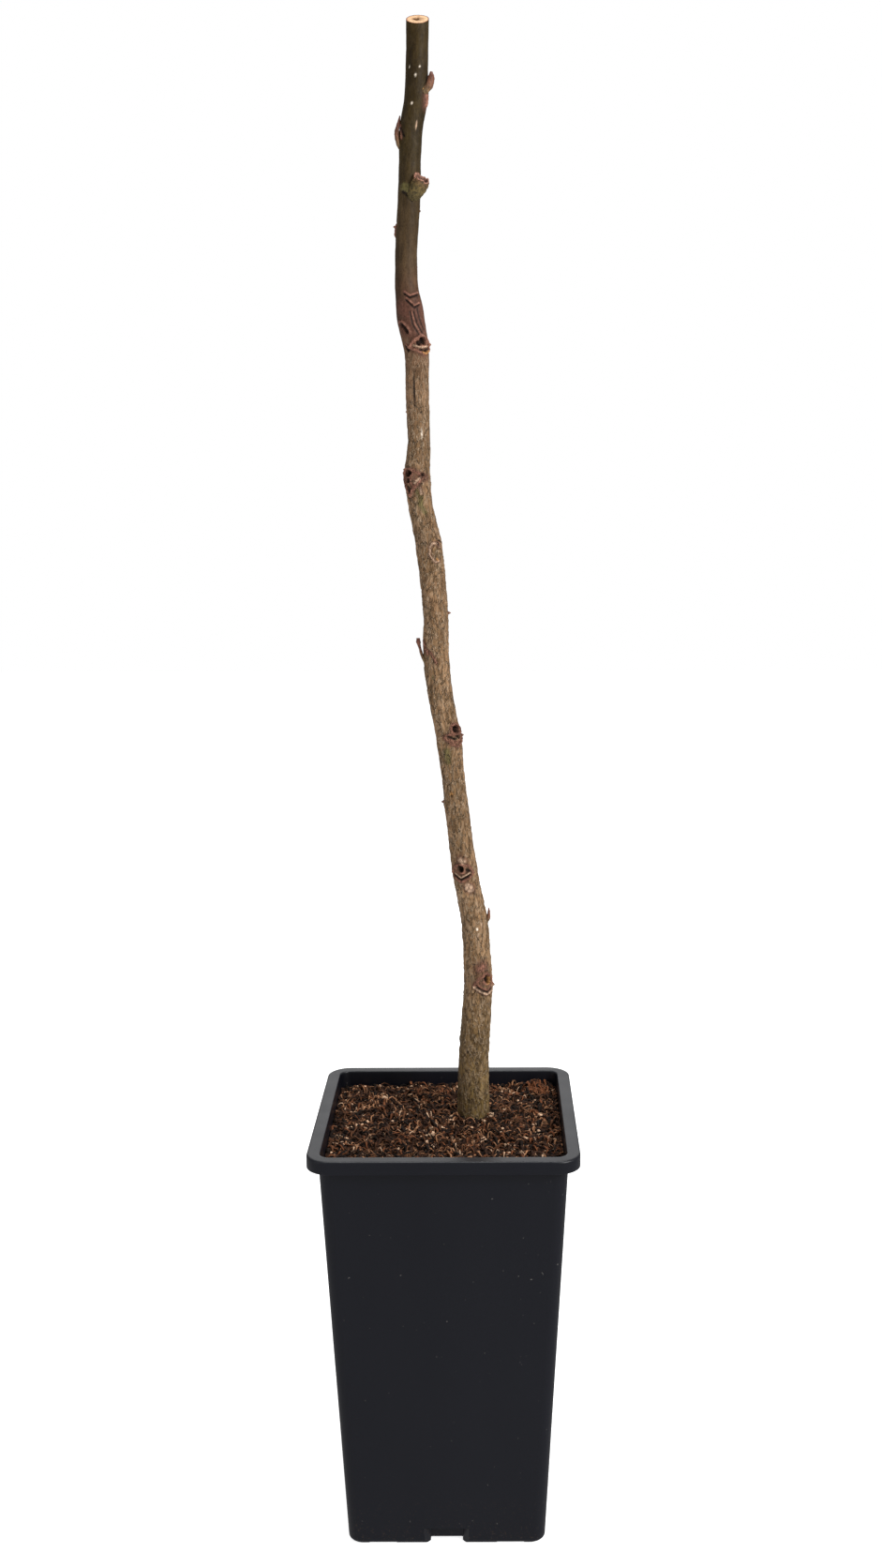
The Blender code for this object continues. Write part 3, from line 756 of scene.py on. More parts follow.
def drain(x, y):
    """A round bar for cutting a drain hole."""
    bm = bmesh.new()
    size = {"segments": 32, "radius1": DRAIN_RADIUS, "radius2": DRAIN_RADIUS, "depth": 2 * LONG}
    bmesh.ops.create_cone(bm, cap_ends=True, matrix=Matrix.Translation((x, y, 0)), **size)
    return from_bmesh("drain", bm)


def niche(name, thickness, out):
    """The niche in the front wall's foot, grown by a thickness, up to a distance past the wall."""
    face = half_width(NICHE_HEIGHT / 2)
    slant = (NICHE_HALF_WIDTH - NICHE_BACK_HALF_WIDTH) / NICHE_DEPTH
    wide = NICHE_HALF_WIDTH + slant * out + thickness
    narrow = NICHE_BACK_HALF_WIDTH + thickness
    back = -face + NICHE_DEPTH + thickness
    low = FLOOR_RISE + thickness if thickness else -LONG
    corners = [(-wide, -face - out), (wide, -face - out), (narrow, back), (-narrow, back)]
    bm = bmesh.new()
    vertices = [bm.verts.new((x, y, z)) for z in (low, NICHE_HEIGHT + thickness) for x, y in corners]
    bm.faces.new(vertices[3::-1])
    bm.faces.new(vertices[4:])
    for i in range(4):
        j = (i + 1) % 4
        bm.faces.new((vertices[i], vertices[j], vertices[4 + j], vertices[4 + i]))
    if not thickness:
        edges = [
            edge for edge in bm.edges
            if all(v.co.z > 0 for v in edge.verts) or not any(v.co.y < -face for v in edge.verts)
        ]
        bmesh.ops.bevel(bm, geom=edges, offset=NICHE_EDGE, segments=3, profile=0.5, affect="EDGES")
    return from_bmesh(name, bm)


def carve(target, cutter, turn=0, operation="DIFFERENCE"):
    """Applies a Boolean with a cutter turned about the pot's middle, and removes the cutter."""
    cutter.rotation_euler.z = math.radians(turn)
    modifier = target.modifiers.new("boolean", "BOOLEAN")
    modifier.operation = operation
    modifier.solver = "EXACT"
    modifier.object = cutter
    bpy.context.view_layer.update()
    evaluated = target.evaluated_get(bpy.context.evaluated_depsgraph_get())
    mesh = bpy.data.meshes.new_from_object(evaluated)
    target.modifiers.clear()
    target.data = mesh
    bpy.data.objects.remove(cutter, do_unlink=True)


def make_pot():
    """The pot as one moulding, with its rim, foot ring, niches, channels and drain holes."""
    rings = [level_ring(*ring) for ring in pot_profile()]
    pot = add_mesh("pot_moulding", np.concatenate(rings), ring_faces(len(rings), len(rings[0])))
    bm = bmesh.new()
    bm.from_mesh(pot.data)
    bmesh.ops.holes_fill(bm, edges=[e for e in bm.edges if e.is_boundary], sides=0)
    bmesh.ops.recalc_face_normals(bm, faces=bm.faces)
    bm.to_mesh(pot.data)
    bm.free()
    for turn in QUARTERS:
        carve(pot, niche("housing", WALL, -HOUSING_SINK), turn, "UNION")
    inner = half_width(0) - FOOT_RING
    carve(pot, block("floor_cut", (-inner, -inner, -LONG), (inner, inner, FLOOR_RISE)))
    reach = half_width(0) + LONG
    for turn in QUARTERS[:2]:
        for middle, half, height in CHANNELS:
            carve(pot, block("channel", (middle - half, -reach, -LONG), (middle + half, reach, height)), turn)
    for turn in QUARTERS:
        carve(pot, niche("niche", 0, LONG), turn)
    for x, y in ((0, 0), (1, 1), (1, -1), (-1, 1), (-1, -1)):
        carve(pot, drain(x * DRAIN_OFFSET, y * DRAIN_OFFSET))
    co = np.array([v.co for v in pot.data.vertices])
    pot.data.vertices.foreach_set("co", warp_pot(co).astype(np.float32).ravel())
    pot.data.shade_smooth()
    pot.data.set_sharp_from_angle(angle=math.radians(32))
    dress(pot, pot_look(), "pot_plastic", "pot")


def warp_pot(co):
    """The moulding's slight unevenness, and the small marks in the rim's top."""
    across = np.abs(co[:, :2]).max(1)
    divisor = np.maximum(across, 1e-6)
    side = np.minimum(np.abs(co[:, 0]), np.abs(co[:, 1])) / divisor
    bow = POT_BOW * np.sin(math.pi * np.clip(co[:, 2] / POT_HEIGHT, 0, 1))
    push = bow * np.clip(1 - side**2, 0, 1) * rough(co, 7.0) * (across > 1e-4)
    co[:, :2] += co[:, :2] / divisor[:, None] * push[:, None]
    on_top = co[:, 2] > POT_HEIGHT - 0.2 * MM
    for x, y, size, depth in RIM_MARKS:
        away = ((co[:, 0] - x * MM) ** 2 + (co[:, 1] - y * MM) ** 2) / (size * MM) ** 2
        co[:, 2] -= on_top * depth * MM * np.exp(-away)
    return co


def pot_look():
    """Satin near-black plastic with a blue cast, faint flow bands, specks of dust and dirt at the foot."""
    look = Look("pot_plastic_look", 0.42)
    base = look.ramp(look.noise(9, 4, (1, 1, 0.25)), POT_COLOURS)
    low = look.scale(look.height(), 0, 1, DIRT_HEIGHT, 0)
    grains = look.ramp(look.noise(900, 2), ((0.64, BLACK), (0.70, WHITE)))
    dirt = look.mix(1, look.mix(low, BLACK, grains), (0.45, 0.45, 0.45), "MULTIPLY")
    dirty = look.mix(dirt, base, (0.085, 0.050, 0.030))
    specks = look.ramp(look.noise(620, 0), ((0.862, BLACK), (0.875, WHITE)))
    look.paint(
        look.mix(specks, dirty, (0.07, 0.065, 0.06)),
        look.scale(look.noise(60, 4, (1, 1, 0.3)), 0.30, 0.44),
        (look.noise(1400, 2), 0.06 * MM, 0.35),
        (look.noise(25, 2, (1, 1, 0.2)), 0.6 * MM, 0.12),
    )
    return look


# The stem


def stem_at(heights):
    """The stem's middle (x, y) and radius at each height, from a smooth curve through its bends."""
    table = np.array(STEM) * MM
    stations = table[:, 0]
    values = table[:, 1:]
    spans = np.diff(stations)[:, None]
    slopes = np.diff(values, axis=0) / spans
    inner = (slopes[:-1] * spans[1:] + slopes[1:] * spans[:-1]) / (spans[1:] + spans[:-1])
    tangents = np.vstack([slopes[:1], inner, slopes[-1:]])
    heights = np.asarray(heights, float)
    i = np.clip(np.searchsorted(stations, heights) - 1, 0, len(spans) - 1)
    span = spans[i]
    t = (heights - stations[i])[..., None] / span
    found = (
        values[i] * (2 * t**3 - 3 * t**2 + 1)
        + values[i + 1] * (3 * t**2 - 2 * t**3)
        + tangents[i] * span * (t**3 - 2 * t**2 + t)
        + tangents[i + 1] * span * (t**3 - t**2)
    )
    return found[..., 0], found[..., 1], found[..., 2] / 2


def ring_heights():
    """Heights of the stem's rings, closer together at the scars."""
    heights = np.linspace(0, CUT_HEIGHT / MM, 3000)
    step = np.full(len(heights), COARSE_STEP)
    for middle in [mark[0] for mark in MARKS.values()] + [height for height, _ in BACK_SCARS]:
        near = np.exp(-(((heights - middle) / 12) ** 4))
        step = np.minimum(step, COARSE_STEP + (FINE_STEP - COARSE_STEP) * near)
    passed = np.concatenate([[0], np.cumsum(1 / step[:-1])])
    return np.interp(np.linspace(0, passed[-1], STEM_RINGS), passed, heights) * MM


def distance_to(points, u, v):
    """How far each (u, v) is from a line through points."""
    best = np.full(u.shape, 1e9)
    for (ax, ay), (bx, by) in zip(points[:-1], points[1:]):
        dx = bx - ax
        dy = by - ay
        t = np.clip(((u - ax) * dx + (v - ay) * dy) / max(dx * dx + dy * dy, 1e-9), 0, 1)
        best = np.minimum(best, np.hypot(u - ax - t * dx, v - ay - t * dy))
    return best


class Bark:
    """The stem's surface: where each vertex is, how far it is pushed out in millimetres, and its tones."""

    def __init__(self):
        azimuths = -90 + np.degrees(circle(STEM_COLUMNS)) + 180 / STEM_COLUMNS
        grid = np.meshgrid(ring_heights(), azimuths, indexing="ij")
        self.height, self.azimuth = (part.ravel() for part in grid)
        x, y, self.radius = stem_at(self.height)
        self.middle = np.stack([x, y], 1)
        angle = np.radians(self.azimuth)
        self.direction = np.stack([np.cos(angle), np.sin(angle)], 1)
        self.push = np.zeros(len(self.height))
        self.tones = {name: np.zeros(len(self.height)) for name in TONES}

    def seen_from(self, height, azimuth):
        """How far each vertex is to the right of a place on the bark and above it, in millimetres."""
        turn = np.radians((self.azimuth - azimuth + 180) % 360 - 180)
        return turn * self.radius / MM, self.height / MM - height

    def tone(self, name, weight):
        """Makes a tone at least so strong."""
        self.tones[name] = np.maximum(self.tones[name], np.clip(weight, 0, 1))

    def swell(self):
        """The swellings under the scars and at the nodes."""
        for height, azimuth, half_height, half_wide, rise in SWELLINGS:
            u, v = self.seen_from(height, azimuth)
            self.push += rise * np.exp(-((v / half_height) ** 2) - (u / half_wide) ** 2)

    def mark(self, height, azimuth, holes, strokes):
        """A scar's ridges, creases and holes, with ragged edges. The dark tone in its sunken creases and
        inside its holes is painted shade.
        """
        u, v = self.seen_from(height, azimuth)
        ragged = 0.35 * np.sin(2.1 * u + height) + 0.3 * np.sin(2.7 * v + azimuth)
        for tone, width, rise, points in strokes:
            away = distance_to(points, u, v)
            self.push += 1.3 * rise * np.exp(-((away / width) ** 2)) * (1 + 0.35 * ragged)
            # A dark stroke's painted shade spreads a little past its crease
            spread = width * (1.5 if tone == "dark" else 1.1)
            self.tone(tone, np.exp(-((away / spread) ** 4)) * (1 + 0.3 * ragged))
            if tone in ("pink", "pale"):
                halo = np.exp(-((away / (width * 2.6)) ** 4)) * np.clip(1 + 0.6 * ragged, 0, 1)
                self.tone("purple", halo)
                self.push -= 0.28 * np.exp(-(((away - width * 2.1) / (width * 0.7)) ** 2))
        for hole_u, hole_v, wide, tall, depth in holes:
            out = np.hypot((u - hole_u) / wide, (v - hole_v) / tall)
            inside = np.clip((1.35 - out) / 0.4, 0, 1)
            self.push += 0.9 * np.exp(-(((out - 1.5) / 0.38) ** 2)) - depth * inside
            self.tone("pink", 0.9 * np.exp(-(((out - 1.6) / 0.3) ** 4)))
            # Painted shade inside the hole
            self.tone("dark", inside)

    def speck(self, height, azimuth, wide, tall, rise, tone):
        """A lenticel, a knot or a small wound. A sunken dark speck is painted shade in its pit."""
        u, v = self.seen_from(height, azimuth)
        weight = np.exp(-(((u / wide) ** 2 + (v / tall) ** 2) ** 2))
        self.push += rise * weight
        self.tone(tone, weight)

    def net(self):
        """Adds the net of ridges and cracks, faint near the stem's top, and returns how strong each is."""
        place = np.column_stack([self.middle + self.direction * self.radius[:, None], self.height])
        drawn = place * (1, 1, BARK_STRETCH)
        bend = np.stack([rough(drawn, 160, 10 * i) for i in range(3)], 1) * 3.5 * MM
        scarred = np.clip(self.tones["pink"] + self.tones["dark"] + self.tones["purple"], 0, 1)
        strong = np.clip((0.56 - self.height) / 0.12, 0.06, 1) * (1 - 0.6 * scarred)
        ridges = strong * np.clip(1 - np.abs(rough(drawn + bend, 300, 40)) * 5.0, 0, 1)
        cracks = strong * np.clip(1 - np.abs(rough(drawn + bend * 1.4, 240, 90)) * 5.5, 0, 1)
        self.push += RIDGE_RISE * ridges - CRACK_DEPTH * cracks
        self.push += LUMP_RISE * rough(place, 110, 5) + GRAIN_RISE * rough(drawn, 900, 3)
        return {"ridge": ridges, "crack": cracks}

    def vertices(self):
        """The pushed surface, its topmost rings tilted more and more into the plane of the cut."""
        level = self.middle + self.direction * (self.radius + self.push * MM)[:, None]
        share = np.clip(1 + (self.height - CUT_HEIGHT) / CUT_REACH, 0, 1)
        rise = (level[:, 1] - stem_at(CUT_HEIGHT)[1]) * math.tan(math.radians(CUT_SLOPE))
        return np.column_stack([level, COMPOST_LEVEL + self.height + share * rise])


def make_stem():
    """The stem's bark, from its foot to the slanting cut, and the wood of the cut."""
    bark = Bark()
    bark.swell()
    for mark in MARKS.values():
        bark.mark(*mark)
    for height, azimuth in BACK_SCARS:
        bark.mark(height, azimuth, (BACK_HOLE,), HEART)
    for speck in SPECKS:
        bark.speck(*speck)
    net = bark.net()
    vertices = bark.vertices()
    stem = add_mesh("stem_bark", vertices, ring_faces(STEM_RINGS, STEM_COLUMNS))
    for name, values in {**bark.tones, **net}.items():
        add_values(stem, name, values)
    dress(stem, bark_look(), "bark", "trunk")
    make_cut_wood(vertices[-STEM_COLUMNS:])


def bark_look():
    """Bark by height: olive at the foot and top, grey-brown between, with scars, cracks and lenticels, and
    painted shade in the scars' creases and holes.
    """
    look = Look("bark_look", 0.2)
    tallest = BARK_ZONES[-1][0]
    share = look.scale(look.height(), 0, 1, COMPOST_LEVEL, COMPOST_LEVEL + tallest)
    base = look.ramp(share, [(height / tallest, colour) for height, colour in BARK_ZONES])
    for strength, scale, detail, stretch, *stops in BARK_TINTS:
        base = look.tint(strength, base, look.noise(scale, detail, stretch), stops)
    strong = look.scale(share, 0.02, 1, 0.76, 0.66)
    net = look.mix(strong, BLACK, look.lines(look.noise(330, 2, (1, 1, 0.4)), 0.045))
    furrow = look.mix(strong, BLACK, look.lines(look.noise(270, 3, (1.15, 1.1, 0.34)), 0.035))
    for line, strength, colour in (
        (look.attribute("ridge"), 0.35, (0.44, 0.31, 0.20)),
        (look.attribute("crack"), 0.55, (0.085, 0.052, 0.022)),
        (net, 0.50, (0.50, 0.37, 0.25)),
        (furrow, 0.62, (0.075, 0.045, 0.020)),
    ):
        base = look.mix(look.scale(line, 0, strength), base, colour)
    mottle = look.ramp(look.noise(650, 3), ((0.3, (0.55, 0.50, 0.47)), (0.65, (1.25, 1.22, 1.2))))
    # The dark tone, unmottled, is painted shade in creases, holes and pits, and the colour of the raised dark
    # knots
    for tone, colour in TONES.items():
        tint = colour if tone == "dark" else look.mix(1, colour, mottle, "MULTIPLY")
        strength = 0.75 if tone in ("green", "purple") else 0.95
        base = look.mix(look.scale(look.attribute(tone), 0, strength), base, tint)
    look.paint(
        base,
        look.scale(look.noise(300, 3), 0.46, 0.78),
        (look.noise(1100, 4, (1, 1, 0.5)), 0.35 * MM, 0.55),
        (look.noise(420, 3, (1, 1, 0.22)), 0.5 * MM, 0.35),
        (net, 0.7 * MM, 0.9),
        (look.scale(furrow, 1, 0), 0.7 * MM, 0.9),
    )
    return look


def make_cut_wood(rim):
    """The wood of the slanting cut, with its hollow pith."""
    centre = rim.mean(0)
    reach = np.linalg.norm(rim - centre, axis=1)[:, None]
    away = (rim - centre) / reach
    pith = PITH_RADIUS * (1 + 0.22 * np.sin(3 * circle(STEM_COLUMNS) + 1))[:, None]
    rings = []
    for share in CUT_RINGS:
        wave = CUT_WAVE * math.sin(11 * share) if share < 1 else 0
        rings.append((centre + away * reach * share, wave, share))
    for outward_share, share, depth in PITH_RINGS:
        rings.append((centre + np.array(PITH_OFFSET) + away * pith * share, -depth, outward_share))
    slope = math.radians(CUT_SLOPE)
    normal = np.array([0, -math.sin(slope), math.cos(slope)])
    vertices = np.concatenate([ring + normal * depth * MM for ring, depth, _ in rings])
    inner = vertices[STEM_COLUMNS:]
    inner += normal * (rough(inner, 900) * CUT_WAVE * MM)[:, None]
    wood = add_mesh("cut_wood", vertices, ring_faces(len(rings), STEM_COLUMNS)[:, ::-1])
    add_values(wood, "outward", np.repeat([share for _, _, share in rings], STEM_COLUMNS))
    # How deep each ring sinks into the pith sets the strength of the painted shade in the hollow
    hollow_shade = [-depth / 1.2 for _, depth, _ in rings]
    add_values(wood, "hollow_shade", np.repeat(np.clip(hollow_shade, 0, 1), STEM_COLUMNS))
    dress(wood, cut_look(), "bark")


def cut_look():
    """Pale wood with growth rings, a red-brown edge, and painted shade darkening the pith's hollow with its
    depth.
    """
    look = Look("cut_wood_look", 0.3)
    grain = look.tint(
        1, look.ramp(look.attribute("outward"), CUT_COLOURS), look.noise(700, 4),
        ((0.3, (0.62, 0.55, 0.50)), (0.65, WHITE)),
    )
    look.paint(
        # Painted shade in the pith's hollow, stronger where it is deeper
        look.mix(look.attribute("hollow_shade"), grain, (0.03, 0.012, 0.006)),
        look.scale(look.noise(500, 2), 0.6, 0.9),
        (look.noise(900, 4), 0.2 * MM, 0.5),
    )
    return look


# The buds


def smooth_route(points, count):
    """Points along a smooth curve through a few."""
    points = np.array(points, float)
    t = np.linspace(0, len(points) - 1, count)
    i = np.clip(t.astype(int), 0, len(points) - 2)
    f = (t - i)[:, None]
    padded = np.vstack([2 * points[0] - points[1], points, 2 * points[-1] - points[-2]])
    a, b, c, d = (padded[i + step] for step in range(4))
    return 0.5 * (2 * b + (c - a) * f + (2 * a - 5 * b + 4 * c - d) * f**2 + (3 * b - a - 3 * c + d) * f**3)


def tube_rings(route, widths, thicknesses, sides, facing):
    """Rings of vertices round a route. The first axis of each ring's section faces a given way."""
    along = np.gradient(route, axis=0)
    along /= np.linalg.norm(along, axis=1)[:, None]
    side = np.cross(along, facing)
    side /= np.linalg.norm(side, axis=1)[:, None]
    out = np.cross(side, along)
    turn = circle(sides)[None, :, None]
    wide = np.cos(turn) * side[:, None] * widths[:, None, None]
    return route[:, None] + wide + np.sin(turn) * out[:, None] * thicknesses[:, None, None]


def outward(azimuth):
    """The level direction at an azimuth."""
    angle = math.radians(azimuth)
    return np.array([math.cos(angle), math.sin(angle), 0.0])


def on_stem(height, azimuth, out):
    """A place at a height, an azimuth and a distance out from the stem's plain surface, in millimetres."""
    x, y, radius = stem_at(height * MM)
    return np.array([x, y, COMPOST_LEVEL + height * MM]) + outward(azimuth) * (radius + out * MM)


def make_bud(name, node, azimuth, route, widths, thicknesses, tip_tone, seed):
    """A bud or nub that grows out of the bark: a tapered tube with scales, closed at its tip."""
    count = 34
    sides = 28
    path = smooth_route([on_stem(*point) for point in route], count)
    share = np.linspace(0, 1, count)
    knots = np.linspace(0, 1, len(widths))
    wave = (1 + 0.10 * (1 - (share * BUD_SCALES) % 1) * (share > 0.15)) * MM
    wide = np.interp(share, knots, widths) * wave
    thick = np.interp(share, knots, thicknesses) * wave
    flat = tube_rings(path, wide, thick, sides, outward(azimuth)).reshape(-1, 3)
    centres = np.repeat(path, sides, 0)
    bumps = 0.16 * rough(flat, 800, seed) + 0.10 * rough(flat, 2000, seed)
    flat = centres + (flat - centres) * (1 + bumps)[:, None]
    step = (path[-1] - path[-2]) * 0.4
    closing = [path[-1] + step + (flat[-sides:] - path[-1]) * s - step * s * 0.6 for s in (0.55, 0.05)]
    piece = add_mesh(name, np.concatenate([flat, *closing]), ring_faces(count + 2, sides))
    add_values(piece, "along", np.repeat(np.concatenate([share, [1, 1]]), sides))
    dress(piece, bud_look(name, tip_tone), "bud", node)


def bud_look(name, tip_tone):
    """Bark at a bud's root, turning into dull scales towards its tip."""
    look = Look(name + "_look", 0.35)
    body = look.ramp(look.attribute("along"), (*BUD_COLOURS, (0.8, tip_tone)))
    look.paint(
        look.tint(1, body, look.noise(700, 4, (1, 1, 0.4)), BUD_MOTTLE),
        look.scale(look.noise(500, 2), 0.45, 0.75),
        (look.noise(900, 4, (1, 1, 0.5)), 0.4 * MM, 0.6),
    )
    return look


def make_broken_shoot():
    """The stub of the broken side shoot: a flared cushion with a torn, hollow top."""
    count = 26
    sides = 44
    path = smooth_route([on_stem(*point) for point in STUB_ROUTE], count)
    share = np.linspace(0, 1, count)
    wide = np.interp(share, STUB_KNOTS, STUB_WIDTHS) * MM
    thick = np.interp(share, STUB_KNOTS, STUB_THICKNESSES) * MM
    rings = tube_rings(path, wide, thick, sides, outward(-48))
    turn = circle(sides)
    torn = 0.6 * np.sin(3 * turn + 1) + 0.35 * np.sin(7 * turn) + 0.3 * np.sin(13 * turn + 2)
    faced = (rings - path[:, None]) @ outward(-62)
    rings[:, :, 2] += (share**4)[:, None] * torn * MM - (share**3)[:, None] * faced * 0.55
    lip = rings[-1]
    centre = lip.mean(0)
    inner = [centre + (lip - centre) * size + (0, 0, depth * MM) for size, depth, _, _ in STUB_HOLLOW]
    vertices = np.concatenate([rings.reshape(-1, 3), *inner])
    centres = np.concatenate([np.repeat(path, sides, 0), np.repeat(centre[None], sides * len(inner), 0)])
    bumps = 0.09 * rough(vertices, 500) + 0.07 * rough(vertices, 1500)
    vertices = centres + (vertices - centres) * (1 + bumps)[:, None]
    piece = add_mesh("broken_shoot_stub", vertices, ring_faces(count + len(inner), sides))
    _, _, torn_inside, hollow_shade_inside = zip(*STUB_HOLLOW)
    for name, outside, inside in (
        ("torn", np.clip((share - 0.93) / 0.07, 0, 1), torn_inside),
        ("hollow_shade", np.zeros(count), hollow_shade_inside),
        ("along", share, np.ones(len(inner))),
    ):
        add_values(piece, name, np.repeat(np.concatenate([outside, inside]), sides))
    dress(piece, broken_shoot_look(), "bud", "broken_shoot")


def broken_shoot_look():
    """Olive skin, a torn rim of pale red wood, and painted shade darkening the hollow."""
    look = Look("broken_shoot_look", 0.35)
    mottle = look.ramp(look.noise(600, 4), STUB_MOTTLE)
    skin = look.mix(1, look.ramp(look.attribute("along"), STUB_COLOURS), mottle, "MULTIPLY")
    wood = look.mix(1, (0.40, 0.19, 0.13), mottle, "MULTIPLY")
    skin = look.mix(look.attribute("torn"), skin, wood)
    look.paint(
        # Painted shade in the hollow, stronger where it sinks deeper
        look.mix(look.attribute("hollow_shade"), skin, (0.05, 0.018, 0.010)),
        look.scale(look.noise(500, 2), 0.5, 0.8),
        (look.noise(900, 4), 0.5 * MM, 0.7),
    )
    return look


# The compost


def compost_level(x, y):
    """The height of the compost's surface at each place."""
    foot_x, foot_y, _ = stem_at(0.0)
    away = np.hypot(x - foot_x, y - foot_y)
    mound = (COMPOST_LEVEL - COMPOST_EDGE_LEVEL) * np.exp(-((away / MOUND_RADIUS) ** 2))
    flat = np.column_stack([x, y, np.zeros(len(x))])
    lumps = sum(rise * rough(flat, 1 / (size * MM), offset) for rise, size, offset in LUMPS)
    level = COMPOST_EDGE_LEVEL + mound + np.clip((away - 9 * MM) / (10 * MM), 0, 1) * lumps * MM
    for dent_x, dent_y, radius, rise in DENTS:
        level += rise * np.exp(-(((x - dent_x) ** 2 + (y - dent_y) ** 2) / radius**2))
    return level


def make_compost_ground():
    """The compost's dark ground: an uneven top with walls down to a flat underside."""
    corner = BODY_CORNER - WALL
    fine = {"turns": 8, "sides": 40}
    edge = level_ring(half_width(COMPOST_EDGE_LEVEL) - COMPOST_INSET, 0, corner, **fine)
    rings = []
    for share in np.linspace(0.01, 1, 84):
        ring = edge * share
        ring[:, 2] = compost_level(ring[:, 0], ring[:, 1])
        rings.append(ring)
    for z in (COMPOST_EDGE_LEVEL - 8 * MM, COMPOST_BASE):
        rings.append(level_ring(half_width(z) - COMPOST_INSET, z, corner, **fine))
    rings.append(rings[-1] * (0.01, 0.01, 1))
    ground = add_mesh("compost_ground", np.concatenate(rings), ring_faces(len(rings), len(edge)))
    look = Look("compost_ground_look", 0.15)
    look.paint(
        look.ramp(look.noise(520, 5), COMPOST_COLOURS),
        look.scale(look.noise(700, 2), 0.85, 1),
        (look.noise(600, 5), 1.2 * MM, 0.9),
    )
    dress(ground, look, "potting_compost", "compost")


def litter_places(count, margin):
    """Random places on the compost, clear of the stem's foot."""
    half = half_width(COMPOST_EDGE_LEVEL) - WALL - margin
    places = RNG.uniform(-half, half, (count * 2, 2))
    foot_x, foot_y, radius = stem_at(0.0)
    clear = np.hypot(places[:, 0] - foot_x, places[:, 1] - foot_y) > radius + 0.6 * MM
    return places[clear][:count]


def rotations(axes, angles):
    """Rotation matrices about unit axes."""
    cross = np.zeros((len(angles), 3, 3))
    for row, column, part, sign in ((0, 1, 2, -1), (0, 2, 1, 1), (1, 2, 0, -1)):
        cross[:, row, column] = sign * axes[part]
        cross[:, column, row] = -sign * axes[part]
    sine = np.sin(angles)[:, None, None]
    cosine = np.cos(angles)[:, None, None]
    return np.eye(3) + sine * cross + (1 - cosine) * (cross @ cross)


def turns(count, most_tilt):
    """Random rotations: any way round, tilted up to some angle."""
    spin = RNG.uniform(0, 2 * math.pi, count)
    tilt = RNG.normal(0, 1, count) * math.radians(most_tilt) / 2
    axis = RNG.uniform(0, 2 * math.pi, count)
    return rotations((np.cos(axis), np.sin(axis), 0), tilt) @ rotations((0, 0, 1), spin)


def make_crumbs(name, colour, places, sizes, lift, detail=1, flatness=0.6):
    """Many crumbs or chips in one mesh, each bent out of round in its own way."""
    bm = bmesh.new()
    bmesh.ops.create_icosphere(bm, subdivisions=detail, radius=1)
    shape = np.array([v.co for v in bm.verts])
    faces = np.array([[v.index for v in f.verts] for f in bm.faces])
    bm.free()
    count = len(places)
    depths = sizes * RNG.uniform(0.5, 0.95, count)
    scales = np.stack([sizes, depths, sizes * RNG.uniform(0.3, 1, count) * flatness], 1)
    bends = 1 + RNG.normal(0, 0.2, (count, len(shape), 1))
    moved = np.einsum("kij,knj->kni", turns(count, 55), shape * bends * scales[:, None, :])
    z = compost_level(places[:, 0], places[:, 1]) + lift
    moved += np.column_stack([places, z])[:, None, :]
    all_faces = faces + np.arange(count)[:, None, None] * len(shape)
    piece = add_mesh(name, moved.reshape(-1, 3), all_faces.reshape(-1, 3), smooth=False)
    dress(piece, litter_look(colour), "potting_compost", "compost")


def fibre_routes(places, lengths, steps):
    """Curled lines over the compost with their ends tucked in."""
    count = len(places)
    heading = RNG.uniform(0, 2 * math.pi, count)[:, None]
    curl = RNG.normal(0, 1.5, count)[:, None]
    t = np.linspace(0, 1, steps)[None]
    angle = heading + curl * (t - 0.5) * 2 + 0.5 * np.sin(t * RNG.uniform(3, 9, count)[:, None])
    step = lengths[:, None] / (steps - 1)
    half = half_width(COMPOST_EDGE_LEVEL) - WALL - 0.8 * MM
    x = np.clip(places[:, :1] + np.cumsum(np.cos(angle) * step, 1), -half, half)
    y = np.clip(places[:, 1:] + np.cumsum(np.sin(angle) * step, 1), -half, half)
    arch = RNG.uniform(0.3, 4.2, count)[:, None] * MM * np.sin(math.pi * t) * np.sin(2 * t + curl)
    ground = compost_level(x.ravel(), y.ravel()).reshape(x.shape)
    z = ground.mean(1)[:, None] * 0.4 + ground * 0.6 + 0.5 * MM + arch
    return np.stack([x, y, z], -1)


def make_fibres(name, colour, places, lengths, width):
    """Many curled fibres and shreds in one mesh."""
    count = len(places)
    steps = 9
    sides = 4
    route = fibre_routes(places, lengths, steps)
    along = np.gradient(route, axis=1)
    along /= np.linalg.norm(along, axis=2)[..., None] + 1e-9
    side = np.cross(along, (0.0, 0.0, 1.0))
    side /= np.linalg.norm(side, axis=2)[..., None] + 1e-9
    up = np.cross(side, along)
    taper = 0.25 + 0.75 * np.sin(math.pi * np.linspace(0.08, 0.92, steps))
    wide = ((width * RNG.uniform(0.5, 1.6, count))[:, None] * taper)[..., None, None]
    corner = circle(sides)[:, None]
    across = side[:, :, None] * np.cos(corner) + up[:, :, None] * np.sin(corner) * 0.45
    rings = route[:, :, None] + across * wide
    ends = np.array([[3, 2, 1, 0], np.arange(4) + sides * (steps - 1)])
    tube = np.vstack([ring_faces(steps, sides), ends])
    faces = tube + np.arange(count)[:, None, None] * steps * sides
    piece = add_mesh(name, rings.reshape(-1, 3), faces.reshape(-1, 4))
    dress(piece, litter_look(colour), "potting_compost", "compost")


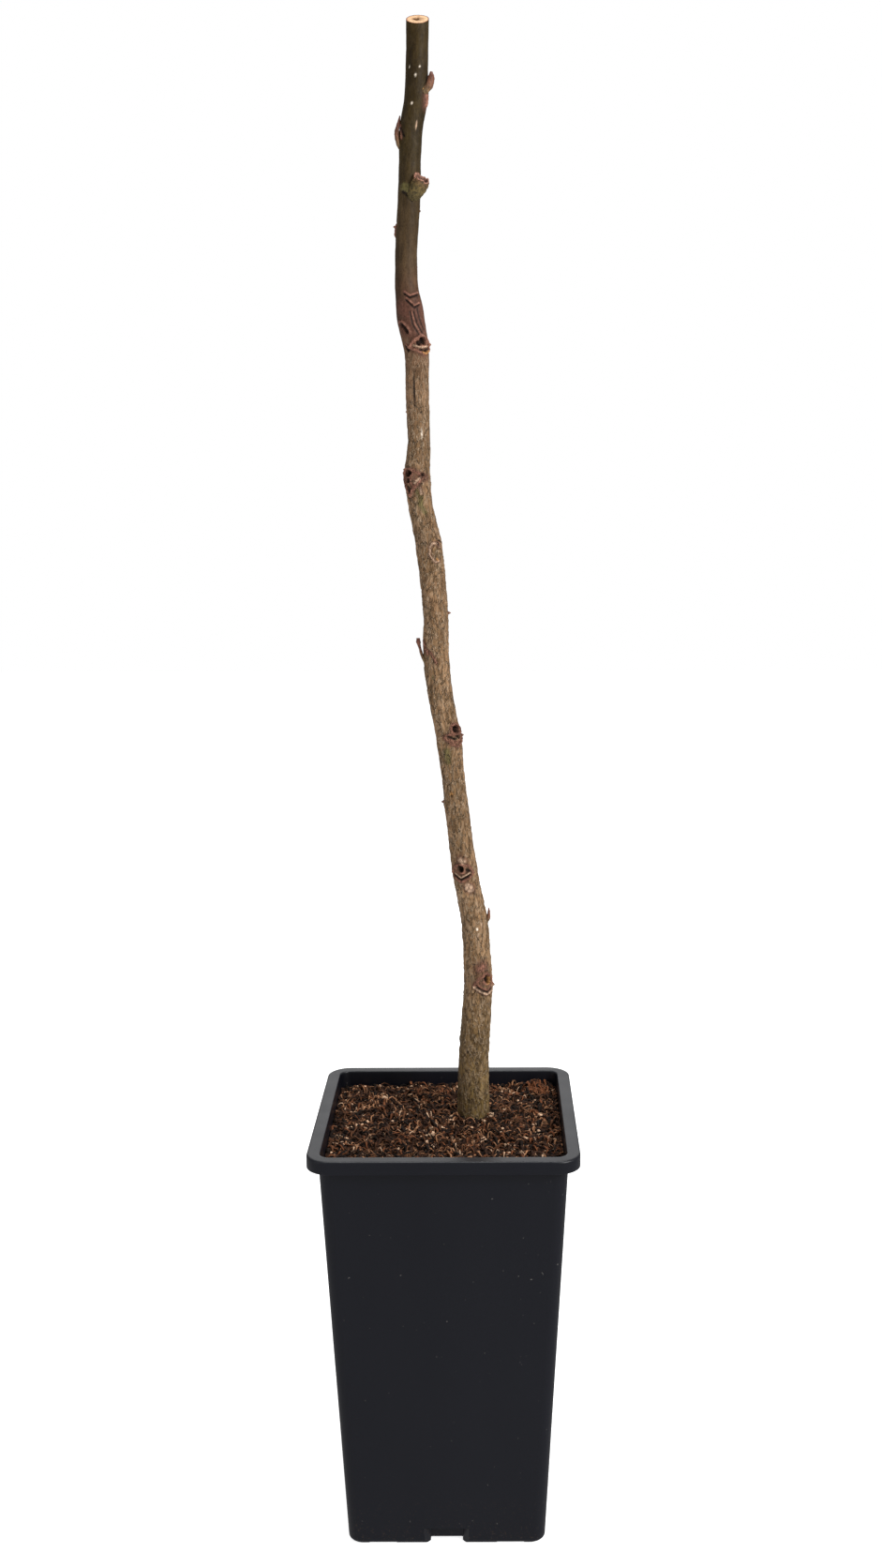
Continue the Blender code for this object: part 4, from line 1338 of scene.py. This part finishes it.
def litter_look(colour):
    """One colour of bark fines, chips or fibre, with a rough surface."""
    look = Look(f"litter_{colour}", 0.2)
    base = LITTER_COLOURS[colour]
    stops = [(where, tuple(part * share for part in base)) for where, share in LITTER_SHADES]
    look.paint(
        look.ramp(look.noise(260, 4), stops),
        look.scale(look.noise(400, 2), 0.7, 0.95),
        (look.noise(1300, 3), 0.3 * MM, 0.6),
    )
    return look


def make_litter():
    """Everything loose on the compost."""
    for colour, count, small, large in CRUMBS:
        places = litter_places(count, 1.6 * MM)
        sizes = RNG.uniform(small, large, len(places)) * MM
        make_crumbs(f"crumbs_{colour}", colour, places, sizes, RNG.uniform(-0.3, 0.9, len(places)) * MM)
    places = litter_places(240, 3 * MM)
    make_crumbs("chips_pale", "pale", places, RNG.uniform(0.6, 1.8, len(places)) * MM, 0.9 * MM, detail=2)
    for colour, count, low, high, width in FIBRES:
        places = litter_places(count, 4 * MM)
        make_fibres(f"fibres_{colour}", colour, places, RNG.uniform(low, high, len(places)) * MM, width * MM)
    pebbles = np.array(PEBBLES) * MM
    make_crumbs("pebbles", "pale", pebbles, np.full(len(pebbles), 2.2 * MM), 1.6 * MM, detail=2, flatness=0.9)
    make_crumbs("long_chip", "pale", np.array([LONG_CHIP]) * MM, np.full(1, 3.6 * MM), 2.2 * MM, 2, 0.5)
    clump = np.array(CLUMP) * MM + RNG.normal(0, 4.5 * MM, (110, 2))
    make_fibres("clump_fibres", "red", clump, RNG.uniform(4, 10, len(clump)) * MM, 0.5 * MM)
    clump = np.array(CLUMP) * MM + RNG.normal(0, 4 * MM, (70, 2))
    make_crumbs("clump_crumbs", "red", clump, RNG.uniform(0.8, 2.2, len(clump)) * MM, 1.2 * MM)
    around = RNG.uniform(0, 2 * math.pi, 150)
    foot_x, foot_y, radius = stem_at(0.0)
    away = radius + RNG.uniform(0.2, 3.5, len(around)) * MM
    foot = np.column_stack([foot_x + away * np.cos(around), foot_y + away * np.sin(around)])
    make_crumbs("foot_crumbs", "dark", foot, RNG.uniform(0.6, 1.7, len(foot)) * MM, 0.5 * MM)


make_camera()
make_studio()
make_pot()
make_compost_ground()
make_litter()
make_stem()
make_broken_shoot()
for bud in BUDS:
    make_bud(*bud)
